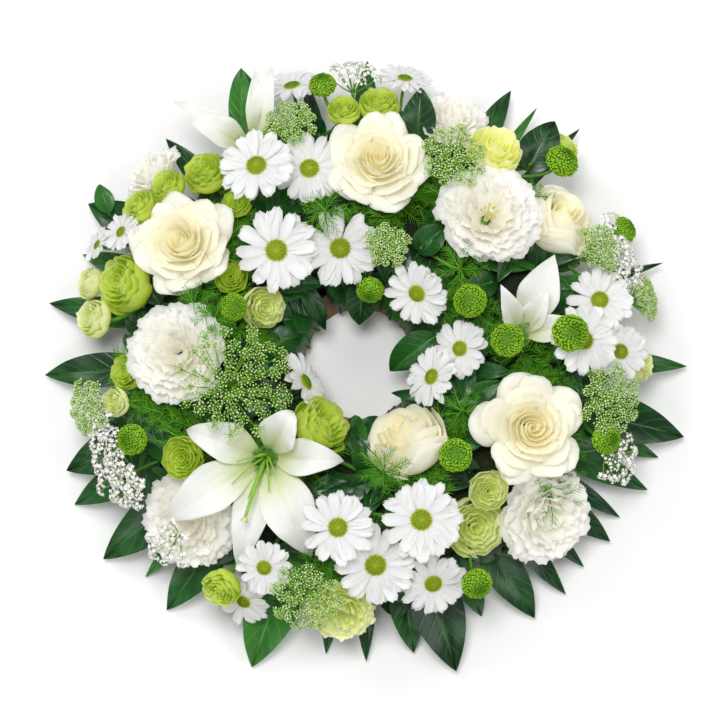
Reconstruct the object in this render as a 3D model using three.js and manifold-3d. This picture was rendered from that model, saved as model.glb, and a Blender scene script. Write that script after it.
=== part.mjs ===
// A funeral wreath that lies flat: a moulded pulp tray carries a ring of floral foam, and the cut flowers, sprays and
// leaves stand in holes in the foam. Millimetres, +Z up. +X is right and +Y is the top of the wreath as it is looked at.
import * as THREE from "three";
import { mergeVertices } from "three/addons/utils/BufferGeometryUtils.js";
import Module from "manifold-3d";

const wasm = await Module();
wasm.setup();

// Driving dimensions.
const TRAY = { innerFoot: 46, innerLip: 59, outerFoot: 165, outerLip: 178, height: 25, wall: 3, facets: 16 };
const FOAM = { inner: 67, foot: 154, outer: 171, shoulder: 44, bevel: 15, crown: 60, sides: 20 };
const SEAT_GAP = 0.3; // between the foam and the tray floor
// The bowed surface that the flower heads follow, over the foam and past its two sides.
const DOME = { crest: 128, foot: 32, rise: 74, outward: 116, inward: 90, steepest: 0.93, facing: 0.8 };
// Where the stems end in the foam: from the inner circle for a head near the hole to the outer one for a head at the rim.
const ROOTS = { innerHead: 50, outerHead: 235, inner: 90, outer: 148, height: 45 };
const FORK = { height: 66, step: 5 }; // where the side stems of a spray branch off, just over the foam
const STEM = { radius: 1.7, neck: 2.1, clearance: 0.35 };
const TWIG = { radius: 1.6, circle: 174.6, height: 32, pinDepth: 14 };
const LEAF_THICK = 0.8;
const LEAF_RISE = 4; // how far a leaf bows up
const NEIGHBOUR_GAP = 0.5; // what a head behind keeps clear of the one in front

// The flowers in front come first: a head that lies behind is trimmed to stand clear of those before it. at is the
// middle of the head's face, across its diameter, lift is added to the dome's height, and lean tips the face.
const PLANTING = [
  {
    name: "lily_open",
    colour: "white",
    heads: [
      {
        kind: "lily",
        throat: [-74, -82, 76],
        petals: [
          { tip: [-157, -134, 72], wide: 38, rise: 30 },
          { tip: [-97, -177, 66], wide: 30, rise: 28 },
          { tip: [-37, -163, 74], wide: 42, rise: 28 },
          { tip: [-9, -86, 96], wide: 30, rise: 22 },
          { tip: [-50, -46, 118], wide: 32, rise: 22 },
          { tip: [-140, -60, 92], wide: 32, rise: 24 },
        ],
      },
    ],
  },
  { name: "rose_left", colour: "ivory", heads: [{ kind: "rose", at: [-142, 87], across: 86, spin: 0.3 }] },
  { name: "rose_top", colour: "ivory", heads: [{ kind: "rose", at: [14, 152], across: 86, lift: 4, spin: 1.0 }] },
  { name: "rose_right", colour: "ivory", heads: [{ kind: "rose", at: [134, -61], across: 90, lift: 4, spin: 0.6 }] },
  {
    name: "lisianthus_centre_right",
    colour: "white",
    heads: [{ kind: "lisianthus", at: [102, 108], across: 80, lift: 6, spin: 0.2 }],
  },
  { name: "rose_inner", colour: "ivory", heads: [{ kind: "halfRose", at: [32, -62], across: 56, lift: 6, spin: 0.5, lean: [-0.25, 0.35] }] },
  { name: "rose_far_right", colour: "ivory", heads: [{ kind: "halfRose", at: [164, 114], across: 58, lift: -9, spin: 1.2, lean: [0.2, 0.3] }] },
  {
    name: "lime_inner",
    colour: "lime",
    heads: [
      { kind: "goblet", at: [-25, -54], across: 46, lift: 10, lean: [0.3, -0.25] },
      { kind: "frond", at: [18, -94], across: 40, lift: 8, needles: 5 },
      { kind: "leaf", base: [-22, -112, 66], tip: [12, -100, 74], wide: 24 },
    ],
  },
  {
    name: "lily_half_open",
    colour: "white",
    heads: [
      {
        kind: "lily",
        throat: [127, 13, 80],
        petals: [
          { tip: [154, 76, 92], wide: 36, rise: 4 },
          { tip: [112, 48, 116], wide: 24, rise: 6 },
          { tip: [146, 44, 114], wide: 26, rise: 8 },
          { tip: [171, 22, 92], wide: 26, rise: 16 },
        ],
      },
    ],
  },
  { name: "lisianthus_left", colour: "white", heads: [{ kind: "lisianthus", at: [-146, -2], across: 76, spin: 0.9, lean: [-0.15, 0] }] },
  { name: "lisianthus_bottom_right", colour: "white", heads: [{ kind: "lisianthus", at: [150, -129], across: 78, lift: -18, spin: 0.4 }] },
  {
    name: "daisies_upper_left",
    colour: "white",
    heads: [
      { kind: "daisy", at: [-66, 79], across: 66 },
      { kind: "daisy", at: [-16, 84], across: 64, lift: -10 },
    ],
  },
  {
    name: "daisies_bottom",
    colour: "white",
    heads: [
      { kind: "daisy", at: [47, -132], across: 64, lift: 5 },
      { kind: "daisy", at: [12, -166], across: 64, lift: -9 },
      { kind: "daisy", at: [-17, -138], across: 58, lift: 6 },
    ],
  },
  {
    name: "daisies_inner_right",
    colour: "white",
    heads: [
      { kind: "daisy", at: [46, 48], across: 54 },
      { kind: "daisy", at: [58, -19], across: 50, lift: -2 },
      { kind: "daisy", at: [80, 4], across: 48, lift: -17 },
    ],
  },
  {
    name: "daisies_top_left",
    colour: "white",
    heads: [
      { kind: "daisy", at: [-81, 145], across: 62, lift: 3 },
      { kind: "daisy", at: [-40, 146], across: 60, lift: -30 },
    ],
  },
  {
    name: "daisies_right",
    colour: "white",
    root: [152, 12],
    heads: [
      { kind: "daisy", at: [174, 8], across: 58, lift: 2 },
      { kind: "daisy", at: [190, 42], across: 54, lift: -12, lean: [-0.5, 0] },
      { kind: "daisy", at: [206, 2], across: 48, lift: -13, lean: [-0.3, 0] },
    ],
  },
  { name: "daisy_hole_left", colour: "white", heads: [{ kind: "daisy", at: [-46, -22], across: 50, lift: 2 }] },
  {
    name: "lime_left",
    colour: "lime",
    heads: [
      { kind: "goblet", at: [-194, 58], across: 46, lift: -15, lean: [-0.2, -0.1] },
      { kind: "goblet", at: [-222, 62], across: 24, lift: -18 },
      { kind: "goblet", at: [-216, 29], across: 30, lift: -1 },
    ],
  },
  {
    name: "lime_upper_left",
    colour: "lime",
    heads: [
      { kind: "goblet", at: [-125, 146], across: 34, lift: -3 },
      { kind: "goblet", at: [-156, 137], across: 28, lift: -6 },
      { kind: "goblet", at: [-180, 121], across: 28, lift: -6 },
      { kind: "goblet", at: [-98, 119], across: 22, lift: -7 },
    ],
  },
  {
    name: "lime_inner_left",
    colour: "lime",
    heads: [
      { kind: "goblet", at: [-74, 35], across: 34, lift: -6 },
      { kind: "goblet", at: [-102, 60], across: 26, lift: -12 },
      { kind: "button", at: [-99, 34], across: 23 },
    ],
  },
  {
    name: "lime_lower_left",
    colour: "lime",
    heads: [
      { kind: "goblet", at: [-139, -84], across: 32 },
      { kind: "goblet", at: [-187, -15], across: 27, lift: -15 },
      { kind: "goblet", at: [-195, -40], across: 22 },
      { kind: "button", at: [-178, -69], across: 26 },
    ],
  },
  {
    name: "lime_bottom_right",
    colour: "lime",
    heads: [
      { kind: "goblet", at: [100, -110], across: 30, lift: 2 },
      { kind: "goblet", at: [91, -138], across: 48, lift: -18 },
      { kind: "button", at: [91, -181], across: 26 },
    ],
  },
  { name: "lime_bottom", colour: "lime", heads: [{ kind: "lisianthus", at: [-15, -205], across: 54, lift: -21, spin: 0.5 }] },
  { name: "lime_bottom_left", colour: "lime", heads: [{ kind: "goblet", at: [-111, -188], across: 30 }] },
  {
    name: "lime_top_right",
    colour: "lime",
    heads: [
      { kind: "goblet", at: [110, 166], across: 42 },
      { kind: "button", at: [162, 156], across: 29 },
      { kind: "goblet", at: [168, 176], across: 27, lift: -9 },
      { kind: "button", at: [212, 102], across: 24 },
      { kind: "leaf", base: [134, 150, 62], tip: [158, 192, 62], wide: 32 },
    ],
  },
  {
    name: "lime_top",
    colour: "lime",
    heads: [
      { kind: "goblet", at: [16, 204], across: 32, lift: -3 },
      { kind: "goblet", at: [-13, 197], across: 26 },
      { kind: "button", at: [-30, 217], across: 24 },
      { kind: "leaf", base: [46, 172, 66], tip: [49, 216, 74], wide: 28 },
      { kind: "leaf", base: [-30, 176, 60], tip: [-54, 204, 66], wide: 19 },
    ],
  },
  {
    name: "lime_right",
    colour: "lime",
    root: [146, -12],
    heads: [
      { kind: "button", at: [162, 11], across: 31, lift: 24 },
      { kind: "button", at: [193, -68], across: 26 },
      { kind: "leaf", base: [138, -18, 67], tip: [110, -22, 74], wide: 22 },
      { kind: "goblet", at: [229, -6], across: 27, lift: -15 },
    ],
  },
  {
    name: "buttons_right",
    colour: "button",
    root: [100, 0],
    heads: [
      { kind: "button", at: [114, 6], across: 28, lift: 16 },
      { kind: "button", at: [86, 39], across: 28, lift: 4 },
    ],
  },
  { name: "lisianthus_bottom_left", colour: "white", heads: [{ kind: "lisianthus", at: [-138, -134], across: 76, lift: -18, spin: 0.1 }] },
  { name: "lisianthus_top", colour: "white", heads: [{ kind: "lisianthus", at: [77, 196], across: 60, lift: -21, spin: 0.7 }] },
  { name: "lisianthus_upper_left", colour: "white", heads: [{ kind: "lisianthus", at: [-172, 154], across: 50, lift: -15, spin: 0.4 }] },
  {
    name: "lily_top_left",
    colour: "white",
    heads: [
      {
        kind: "lily",
        throat: [-86, 168, 62],
        petals: [
          { tip: [-152, 206, 70], wide: 26, rise: 14 },
          { tip: [-138, 186, 86], wide: 32, rise: 16 },
          { tip: [-86, 232, 74], wide: 22, rise: 12 },
          { tip: [-70, 228, 86], wide: 26, rise: 12 },
        ],
      },
    ],
  },
  {
    name: "daisies_top",
    colour: "white",
    heads: [{ kind: "daisy", at: [-55, 221], across: 52, lift: -21 }],
  },
  { name: "daisy_top_right", colour: "white", heads: [{ kind: "daisy", at: [36, 224], across: 46, lift: -8 }] },
  {
    name: "daisies_lower_left",
    colour: "white",
    heads: [
      { kind: "daisy", at: [-74, -168], across: 46, lift: -2 },
      { kind: "daisy", at: [-92, -194], across: 44, lift: -32 },
    ],
  },
  { name: "daisy_bottom_right", colour: "white", heads: [{ kind: "daisy", at: [57, -180], across: 54, lift: -20 }] },
  {
    name: "daisies_far_left",
    colour: "white",
    heads: [
      { kind: "daisy", at: [-190, 98], across: 36, lift: -10 },
      { kind: "daisy", at: [-212, 92], across: 32, lift: -21 },
    ],
  },
  {
    name: "umbel_front",
    colour: "fern",
    heads: [
      { kind: "umbel", at: [-96, -26], across: 88, lift: 14, rays: 11 },
      { kind: "leaf", base: [-104, -34, 66], tip: [-66, -40, 74], wide: 28 },
    ],
  },
  {
    name: "umbel_right",
    colour: "fern",
    root: [152, -42],
    heads: [
      { kind: "umbel", at: [196, -38], across: 54, lift: 4, rays: 6 },
    ],
  },
  {
    name: "umbel_top",
    colour: "fern",
    heads: [
      { kind: "umbel", at: [74, 152], across: 50, lift: 9, rays: 6 },
      { kind: "frond", at: [78, 64], across: 44, needles: 5 },
      { kind: "leaf", base: [46, 84, 66], tip: [70, 104, 74], wide: 24 },
      { kind: "leaf", base: [108, 60, 66], tip: [80, 48, 74], wide: 22 },
    ],
  },
  {
    name: "umbel_upper_left",
    colour: "fern",
    heads: [
      { kind: "umbel", at: [-56, 183], across: 40, lift: -4, rays: 5 },
    ],
  },
  {
    name: "umbel_centre",
    colour: "fern",
    heads: [
      { kind: "frond", at: [-27, 108], across: 40, lift: 12, needles: 5 },
      { kind: "umbel", at: [22, 84], across: 32, rays: 5 },
      { kind: "button", at: [8, 52], across: 24, lift: -2 },
      { kind: "leaf", base: [-4, 116, 66], tip: [-40, 116, 74], wide: 20 },
    ],
  },
  { name: "umbel_bottom", colour: "fern", heads: [{ kind: "umbel", at: [-42, -192], across: 54, lift: 3, rays: 6 }] },
  {
    name: "umbel_far_right",
    colour: "fern",
    heads: [
      { kind: "umbel", at: [190, 83], across: 38, rays: 5 },
      { kind: "umbel", at: [228, 48], across: 34, lift: -6, rays: 5 },
      { kind: "filler", at: [206, 80], across: 36, lift: -4, rays: 6 },
    ],
  },
  {
    name: "umbel_far_left",
    colour: "fern",
    root: [-146, -22],
    heads: [
      { kind: "umbel", at: [-214, -42], across: 42, lift: -4, rays: 6 },
    ],
  },
  {
    name: "fronds_bottom",
    colour: "fern",
    heads: [
      { kind: "frond", at: [80, -46], across: 36, lift: -12, needles: 5 },
      { kind: "button", at: [74, -82], across: 28, lift: 2 },
      { kind: "leaf", base: [92, -30, 66], tip: [72, -62, 74], wide: 22 },
      { kind: "leaf", base: [90, -92, 66], tip: [58, -104, 74], wide: 22 },
    ],
  },
  {
    name: "fronds_left",
    colour: "fern",
    heads: [
      { kind: "frond", at: [-130, 36], across: 38, lift: -8, needles: 5 },
      { kind: "frond", at: [-114, 24], across: 34, needles: 5 },
      { kind: "leaf", base: [-110, 8, 66], tip: [-76, -6, 74], wide: 26 },
      { kind: "leaf", base: [-122, 44, 66], tip: [-98, 14, 74], wide: 24 },
    ],
  },
  { name: "filler_left", colour: "filler", heads: [{ kind: "filler", at: [-190, -98], across: 46, lift: -4, rays: 6 }] },
  { name: "filler_top", colour: "filler", heads: [{ kind: "filler", at: [-6, 228], across: 40, lift: -6, rays: 6 }] },
];

// Leafy twigs bent round the outside of the foam. Each leaf is the place of its tip and its width.
const GARLANDS = [
  {
    name: "leaves_top",
    leaves: [
      { tip: [-156, 180, 21], wide: 18 },
      { tip: [-96, 238, 25], wide: 19 },
      { tip: [-44, 230, 17], wide: 12 },
      { tip: [6, 246, 19], wide: 18 },
      { tip: [122, 220, 23], wide: 20 },
      { tip: [142, 204, 27], wide: 9 },
      { tip: [178, 190, 21], wide: 12 },
    ],
  },
  {
    name: "leaves_right",
    leaves: [
      { tip: [243, 80, 15], wide: 9 },
      { tip: [263, -3, 17], wide: 18 },
      { tip: [259, -60, 19], wide: 34 },
      { tip: [240, -76, 9], wide: 18 },
      { tip: [229, -102, 15], wide: 22 },
      { tip: [208, -124, 9], wide: 14 },
      { tip: [199, -143, 13], wide: 22 },
    ],
  },
  {
    name: "leaves_bottom_right",
    leaves: [
      { tip: [178, -163, 9], wide: 16 },
      { tip: [163, -184, 7], wide: 18 },
      { tip: [139, -204, 13], wide: 28 },
      { tip: [97, -203, 7], wide: 20 },
      { tip: [76, -245, 15], wide: 38 },
      { tip: [43, -232, 11], wide: 24 },
    ],
  },
  {
    name: "leaves_bottom_left",
    leaves: [
      { tip: [5, -237, 9], wide: 14 },
      { tip: [-27, -232, 7], wide: 14 },
      { tip: [-86, -243, 13], wide: 38 },
      { tip: [-154, -198, 13], wide: 30 },
      { tip: [-172, -172, 7], wide: 14 },
      { tip: [-204, -157, 13], wide: 34 },
    ],
  },
  {
    name: "leaves_left",
    leaves: [
      { tip: [-229, -114, 11], wide: 28 },
      { tip: [-234, -87, 21], wide: 34 },
      { tip: [-253, -10, 15], wide: 26 },
      { tip: [-250, 48, 13], wide: 22 },
      { tip: [-224, 88, 9], wide: 20 },
      { tip: [-219, 128, 21], wide: 34 },
    ],
  },
];

// Leaves that reach into the hole, in separate nodes round it so that the hole stays open.
const INNER_LEAVES = [
  {
    name: "leaves_hole_top",
    root: [-16, 84],
    heads: [
      { kind: "leaf", base: [-45, 58, 60], tip: [-27, 22, 40], wide: 15 },
      { kind: "leaf", base: [3, 62, 56], tip: [-1, 26, 38], wide: 26 },
    ],
  },
  { name: "leaves_hole_left", root: [-88, 14], heads: [{ kind: "leaf", base: [-74, 8, 62], tip: [-45, 19, 50], wide: 24 }] },
  {
    name: "leaves_hole_right",
    root: [86, 6],
    heads: [
      { kind: "leaf", base: [60, 16, 60], tip: [23, -11, 44], wide: 28 },
      { kind: "leaf", base: [58, -34, 56], tip: [24, -27, 36], wide: 10 },
    ],
  },
];

const COLOURS = {
  tray: [0x5b3a1e, 0.95],
  foam: [0x8b8671, 1.0],
  white: [0xf6f6f0, 0.6],
  ivory: [0xf8f3d8, 0.6],
  lime: [0xb7cc4e, 0.6],
  button: [0x7fae1e, 0.7],
  fern: [0x6f9c3a, 0.7],
  filler: [0xeeece2, 0.7],
  leaf: [0x1f5a2a, 0.4],
};

const vec = (x, y, z) => new THREE.Vector3(x, y, z);
const UP = vec(0, 0, 1);
const { cos, sin, PI, hypot, sqrt, asin, max, min } = Math;
const mix = (a, b, t) => a + (b - a) * t;

// A seeded draw between 0 and 1, so that every build is the same.
let seed = 7;
const draw = () => {
  seed = (seed * 16807) % 2147483647;
  return seed / 2147483647;
};

// The solid of a closed geometry, with its faces turned outwards.
function solidOf(geometry) {
  const open = geometry.index ? geometry.toNonIndexed() : geometry.clone();
  const points = new THREE.BufferGeometry().setAttribute("position", open.getAttribute("position"));
  const merged = mergeVertices(points, 1e-4);
  const p = merged.attributes.position;
  const faces = [];
  let volume = 0;
  const [a, b, c] = [vec(), vec(), vec()];
  for (let i = 0; i < merged.index.count; i += 3) {
    const [ia, ib, ic] = [0, 1, 2].map((k) => merged.index.getX(i + k));
    if (ia === ib || ib === ic || ia === ic) continue;
    faces.push([ia, ib, ic]);
    a.fromBufferAttribute(p, ia);
    b.fromBufferAttribute(p, ib);
    c.fromBufferAttribute(p, ic);
    volume += a.dot(b.cross(c));
  }
  const triVerts = new Uint32Array(faces.flatMap(([x, y, z]) => (volume < 0 ? [x, z, y] : [x, y, z])));
  return new wasm.Manifold(new wasm.Mesh({ numProp: 3, vertProperties: new Float32Array(p.array), triVerts }));
}

const joined = (solids) => solids.reduce((sum, s) => sum.add(s));

// A geometry from a list of points and a list of triangles.
function geometryOf(points, faces) {
  return new THREE.BufferGeometry()
    .setAttribute("position", new THREE.Float32BufferAttribute(points.flatMap((p) => p.toArray()), 3))
    .setIndex(faces.flat());
}

// A closed surface round the +Z axis, from the neck's point through rows of points to the heart's point. Each row
// gives the radius and the height of its k-th point.
function pleated(sides, neck, rows, heart, spin = 0) {
  const points = [vec(0, 0, neck)];
  for (const row of rows) {
    for (let k = 0; k < sides; k++) {
      const [r, z] = row(k);
      const angle = spin + (2 * PI * k) / sides;
      points.push(vec(r * cos(angle), r * sin(angle), z));
    }
  }
  const last = points.push(vec(0, 0, heart)) - 1;
  const at = (row, k) => 1 + row * sides + (k % sides);
  const faces = [];
  for (let k = 0; k < sides; k++) {
    faces.push([0, at(0, k + 1), at(0, k)], [last, at(rows.length - 1, k), at(rows.length - 1, k + 1)]);
    for (let row = 0; row + 1 < rows.length; row++) {
      const [a, b, c, d] = [at(row, k), at(row, k + 1), at(row + 1, k + 1), at(row + 1, k)];
      faces.push([a, b, c], [a, c, d]);
    }
  }
  return geometryOf(points, faces);
}

// A row of a pleated surface that takes its radii and heights in turn, scaled by R, the turn moved on by shift sides.
const row = (R, radii, heights, shift = 0) => (k) => {
  const p = (k + shift) % radii.length;
  return [R * radii[p], R * heights[p % heights.length]];
};

// A solid turned about the +Z axis from [radius, height] points.
function turned(profile, sides) {
  return new THREE.LatheGeometry(profile.map(([r, z]) => new THREE.Vector2(r, z)), sides).rotateX(PI / 2);
}

// Moves a geometry made on the +Z axis so that it starts at a and points to b.
function aimed(geometry, a, b) {
  const turn = new THREE.Quaternion().setFromUnitVectors(UP, b.clone().sub(a).normalize());
  return geometry.applyQuaternion(turn).translate(...a.toArray());
}

// A straight rod from a to b.
function rod(a, b, radius, sides = 3) {
  const length = a.distanceTo(b);
  return aimed(new THREE.CylinderGeometry(radius, radius, length, sides).rotateX(PI / 2).translate(0, 0, length / 2), a, b);
}

const curve = (a, b, c, t) => (1 - t) ** 2 * a + 2 * t * (1 - t) * b + t ** 2 * c;

// A pointed blade from base to tip: a leaf, or a lily's petal. rise bows it upwards, fold lifts its two edges and foot
// is the share of its width that it starts with. spare makes it that much wider and thicker.
function blade({ base, tip, wide, rise = LEAF_RISE, fold = 0.3, foot = 0, stations = 2, thick = LEAF_THICK, spare = 0 }) {
  const [a, c] = [vec(...base), vec(...tip)];
  const b = a.clone().lerp(c, 0.5).add(vec(0, 0, 2 * rise));
  const side = c.clone().sub(a).cross(UP).normalize();
  const half = wide / 2 + spare;
  const lift = vec(0, 0, thick / 2 + spare);
  const onAxis = (t) => vec(curve(a.x, b.x, c.x, t), curve(a.y, b.y, c.y, t), curve(a.z, b.z, c.z, t));
  const rows = [];
  if (foot) rows.push([0, foot]);
  for (let k = 1; k <= stations; k++) {
    const t = (k - 0.15) / (stations + 0.6);
    rows.push([t, mix(foot, sin(PI * (0.08 + 0.86 * t)), foot ? min(1, 2.5 * t) : 1)]);
  }
  const cross = rows.map(([t, share]) => {
    const raised = vec(0, 0, fold * half * share);
    const [middle, out] = [onAxis(t), side.clone().multiplyScalar(half * share)];
    return [middle.clone().sub(out).add(raised), middle, middle.clone().add(out).add(raised)];
  });
  const outward = c.clone().sub(onAxis(0.9)).setLength(spare);
  const flat = [...cross.flat(), c.clone().add(outward)];
  const tipAt = flat.length - 1;
  const faces = [];
  const outline = [];
  for (let k = 0; k + 1 < cross.length; k++) {
    for (const j of [0, 1]) {
      const p = 3 * k + j;
      faces.push([p, p + 1, p + 4], [p, p + 4, p + 3]);
    }
  }
  const end = 3 * (cross.length - 1);
  faces.push([end, end + 1, tipAt], [end + 1, end + 2, tipAt]);
  for (let k = 0; k < cross.length; k++) outline.push(3 * k + 2);
  outline.push(tipAt);
  for (let k = cross.length - 1; k >= 0; k--) outline.push(3 * k);
  if (foot) {
    outline.push(1);
  } else {
    const first = flat.push(a.clone()) - 1;
    faces.push([first, 1, 0], [first, 2, 1]);
    outline.push(first);
  }
  const n = flat.length;
  const shell = faces.flatMap(([p, q, r]) => [[p, q, r], [p + n, r + n, q + n]]);
  outline.forEach((p, k) => {
    const q = outline[(k + 1) % outline.length];
    shell.push([p, p + n, q + n], [p, q + n, q]);
  });
  return geometryOf([...flat.map((p) => p.clone().add(lift)), ...flat.map((p) => p.clone().sub(lift))], shell);
}

// Each kind of head, in its own frame: its face looks along +Z and the stem meets it at -neck. keep is the profile of
// the bowl that heads behind stay out of.
const KINDS = {
  // Five petals round four round three, each with one edge over its neighbour.
  rose({ across, spin = 0 }) {
    const R = across / 2;
    return {
      neck: 0.74 * R,
      keep: [[0, -0.84], [0.64, -0.66], [1.1, -0.04], [1.04, 0.12], [0, 0.3]],
      parts: [
        pleated(
          15,
          -0.8 * R,
          [
            row(R, [0.6], [-0.56]),
            row(R, [0.98, 1.03, 0.86], [-0.02, 0.06, -0.12]),
            row(R, [0.74], [-0.14]),
            row(R, [0.66, 0.71, 0.56], [0.12, 0.17, 0.05], 1),
            row(R, [0.45], [0]),
            row(R, [0.36, 0.4, 0.27], [0.2, 0.24, 0.14], 2),
          ],
          0.04 * R,
          spin,
        ),
      ],
    };
  },
  halfRose({ across, spin = 0 }) {
    const R = across / 2;
    return {
      neck: 1.3 * R,
      keep: [[0, -1.4], [0.9, -1.05], [1.14, -0.5], [1.12, 0.14], [0, 0.3]],
      parts: [
        pleated(
          12,
          -1.35 * R,
          [
            row(R, [0.84], [-1.0]),
            row(R, [1.06], [-0.5]),
            row(R, [0.98, 1.04, 0.84], [0, 0.1, -0.1]),
            row(R, [0.66], [-0.22]),
            row(R, [0.52, 0.58, 0.42], [0.2, 0.25, 0.12], 1),
          ],
          -0.05 * R,
          spin,
        ),
      ],
    };
  },
  // Five ruffled petals round five smaller ones.
  lisianthus({ across, spin = 0 }) {
    const R = across / 2;
    return {
      neck: 0.8 * R,
      keep: [[0, -0.9], [0.46, -0.7], [1.1, -0.06], [1.06, 0.12], [0, 0.24]],
      parts: [
        pleated(
          20,
          -0.86 * R,
          [
            row(R, [0.42], [-0.62]),
            row(R, [0.97, 0.9, 1.04, 0.82], [0.05, -0.05, 0.06, -0.12]),
            row(R, [0.52], [-0.24]),
            row(R, [0.64, 0.55, 0.6, 0.47], [0.13, 0.07, 0.16, 0.02], 2),
            row(R, [0.22], [-0.26]),
          ],
          0.02 * R,
          spin,
        ),
      ],
    };
  },
  // A small deep cup of four petals.
  goblet({ across, spin = 0.4 }) {
    const R = across / 2;
    return {
      neck: 1.1 * R,
      keep: [[0, -1.25], [1.06, -0.8], [1.12, 0.12], [0, 0.2]],
      parts: [
        pleated(
          across > 44 ? 12 : 8,
          -1.15 * R,
          [
            row(R, [0.96], [-0.72]),
            row(R, [1.02, 0.8], [0.1, -0.12]),
            row(R, [0.54], [-0.3]),
            row(R, [0.26, 0.34], [0.1, 0]),
          ],
          0,
          spin,
        ),
      ],
    };
  },
  // Strap petals round a raised disc, every other one lower.
  daisy({ across }) {
    const R = across / 2;
    const count = across > 44 ? 12 : 9;
    const points = [vec(0, 0, -0.2 * R), vec(0, 0, 0.15 * R)];
    const place = (turn, r, z) => points.push(vec(r * cos(turn), r * sin(turn), z));
    for (let k = 0; k < count; k++) {
      const step = (2 * PI) / count;
      const reach = R * mix(0.96, 1.04, draw());
      const height = R * (k % 2 ? 0.13 : 0.03);
      place(k * step, 0.27 * R, 0.08 * R);
      place(k * step, 0.46 * R, 0);
      place((k + 0.15) * step, reach, height);
      place((k + 0.85) * step, reach, height);
    }
    const faces = [];
    for (let k = 0; k < count; k++) {
      const [disc, valley, left, right] = [0, 1, 2, 3].map((j) => 2 + 4 * k + j);
      const [nextDisc, nextValley] = [0, 1].map((j) => 2 + 4 * ((k + 1) % count) + j);
      faces.push([1, disc, nextDisc], [disc, valley, left], [disc, left, right], [disc, right, nextDisc]);
      faces.push([nextDisc, right, nextValley], [0, left, valley], [0, right, left], [0, nextValley, right]);
    }
    return {
      neck: 0.16 * R,
      keep: [[0, -0.28], [1.12, -0.06], [1.12, 0.18], [0, 0.24]],
      parts: [geometryOf(points, faces)],
    };
  },
  // A tight button head, its florets raised in a chequer.
  button({ across }) {
    const R = across / 2;
    const sides = across > 30 ? 10 : 8;
    const latitudes = [-0.9, -0.3, 0.35, 0.95];
    const rows = latitudes.map((angle, j) => (k) => {
      const r = R * ((j + k) % 2 ? 0.86 : 1);
      return [r * cos(angle), 0.8 * r * sin(angle)];
    });
    return {
      neck: 0.6 * R,
      keep: [[0, -0.84], [0.8, -0.7], [1.12, -0.1], [1.12, 0.2], [0.7, 0.8], [0, 0.84]],
      parts: [pleated(sides, -0.76 * R, rows, 0.62 * R)],
    };
  },
  // Rays from one point to a flat top, each with a small head of florets.
  umbel: ({ across, rays }) => rayed(across / 2, rays, 0.05 * across + 1.6, 0.5),
  filler: ({ across, rays }) => rayed(across / 2, rays, 0.06 * across + 1.5, 0.65),
  // Thin needles all round a short axis.
  frond({ across, needles }) {
    const R = across / 2;
    const parts = [pleated(3, -0.75 * R, [row(1, [1.5], [-0.6 * R]), row(1, [1.1], [-0.05 * R])], 0.3 * R)];
    for (let k = 0; k < needles; k++) {
      const angle = k * 2.4;
      const start = vec(0, 0, mix(-0.55, -0.1, k / needles) * R);
      const reach = R * mix(0.85, 1, draw());
      const tip = vec(reach * cos(angle), reach * sin(angle), mix(-0.1, 0.35, draw()) * R);
      const length = start.distanceTo(tip);
      parts.push(aimed(pleated(3, -0.8, [row(1, [1], [0])], length), start, tip));
    }
    return { neck: 0.66 * R, keep: null, parts };
  },
};

function rayed(R, rays, floret, spread) {
  const hub = -0.75 * R;
  const parts = [pleated(6, hub - 3, [row(1, [3.4], [hub])], hub + 3)];
  for (let k = 0; k < rays; k++) {
    const share = sqrt((k + 0.5) / rays);
    const angle = k * 2.39996;
    const tip = vec(R * share * cos(angle), R * share * sin(angle), R * spread * (0.5 - 0.5 * share * share));
    const start = vec(0, 0, hub).lerp(tip, 0.8 / hypot(R * share, R * 0.75));
    const length = start.distanceTo(tip);
    const rows = [row(1, [0.7], [0.4]), row(1, [0.6], [length - floret]), row(floret, [1], [length / floret - 0.1])];
    parts.push(aimed(pleated(3, 0.2, rows, length + 0.55 * floret), start, tip));
  }
  return { neck: 0.75 * R, keep: null, parts };
}

// Where the dome puts a head: its middle, the way it faces and the foam under it.
function stand({ at, lift = 0, lean = [0, 0] }) {
  const r = hypot(...at);
  const [ux, uy] = [at[0] / r, at[1] / r];
  const share = (r - DOME.crest) / (r > DOME.crest ? DOME.outward : DOME.inward);
  const slope = asin(max(-DOME.steepest, min(DOME.steepest, share)));
  const tilt = DOME.facing * sin(slope);
  const facing = vec(ux * tilt + lean[0], uy * tilt + lean[1], cos(slope)).normalize();
  const middle = vec(at[0], at[1], DOME.foot + DOME.rise * cos(slope) + lift);
  const rootR = mix(ROOTS.inner, ROOTS.outer, (r - ROOTS.innerHead) / (ROOTS.outerHead - ROOTS.innerHead));
  return { middle, facing, root: vec(ux * rootR, uy * rootR, ROOTS.height) };
}

const middleOf = (points) => points.reduce((sum, p) => sum.add(p), vec(0, 0, 0)).divideScalar(points.length);

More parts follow.
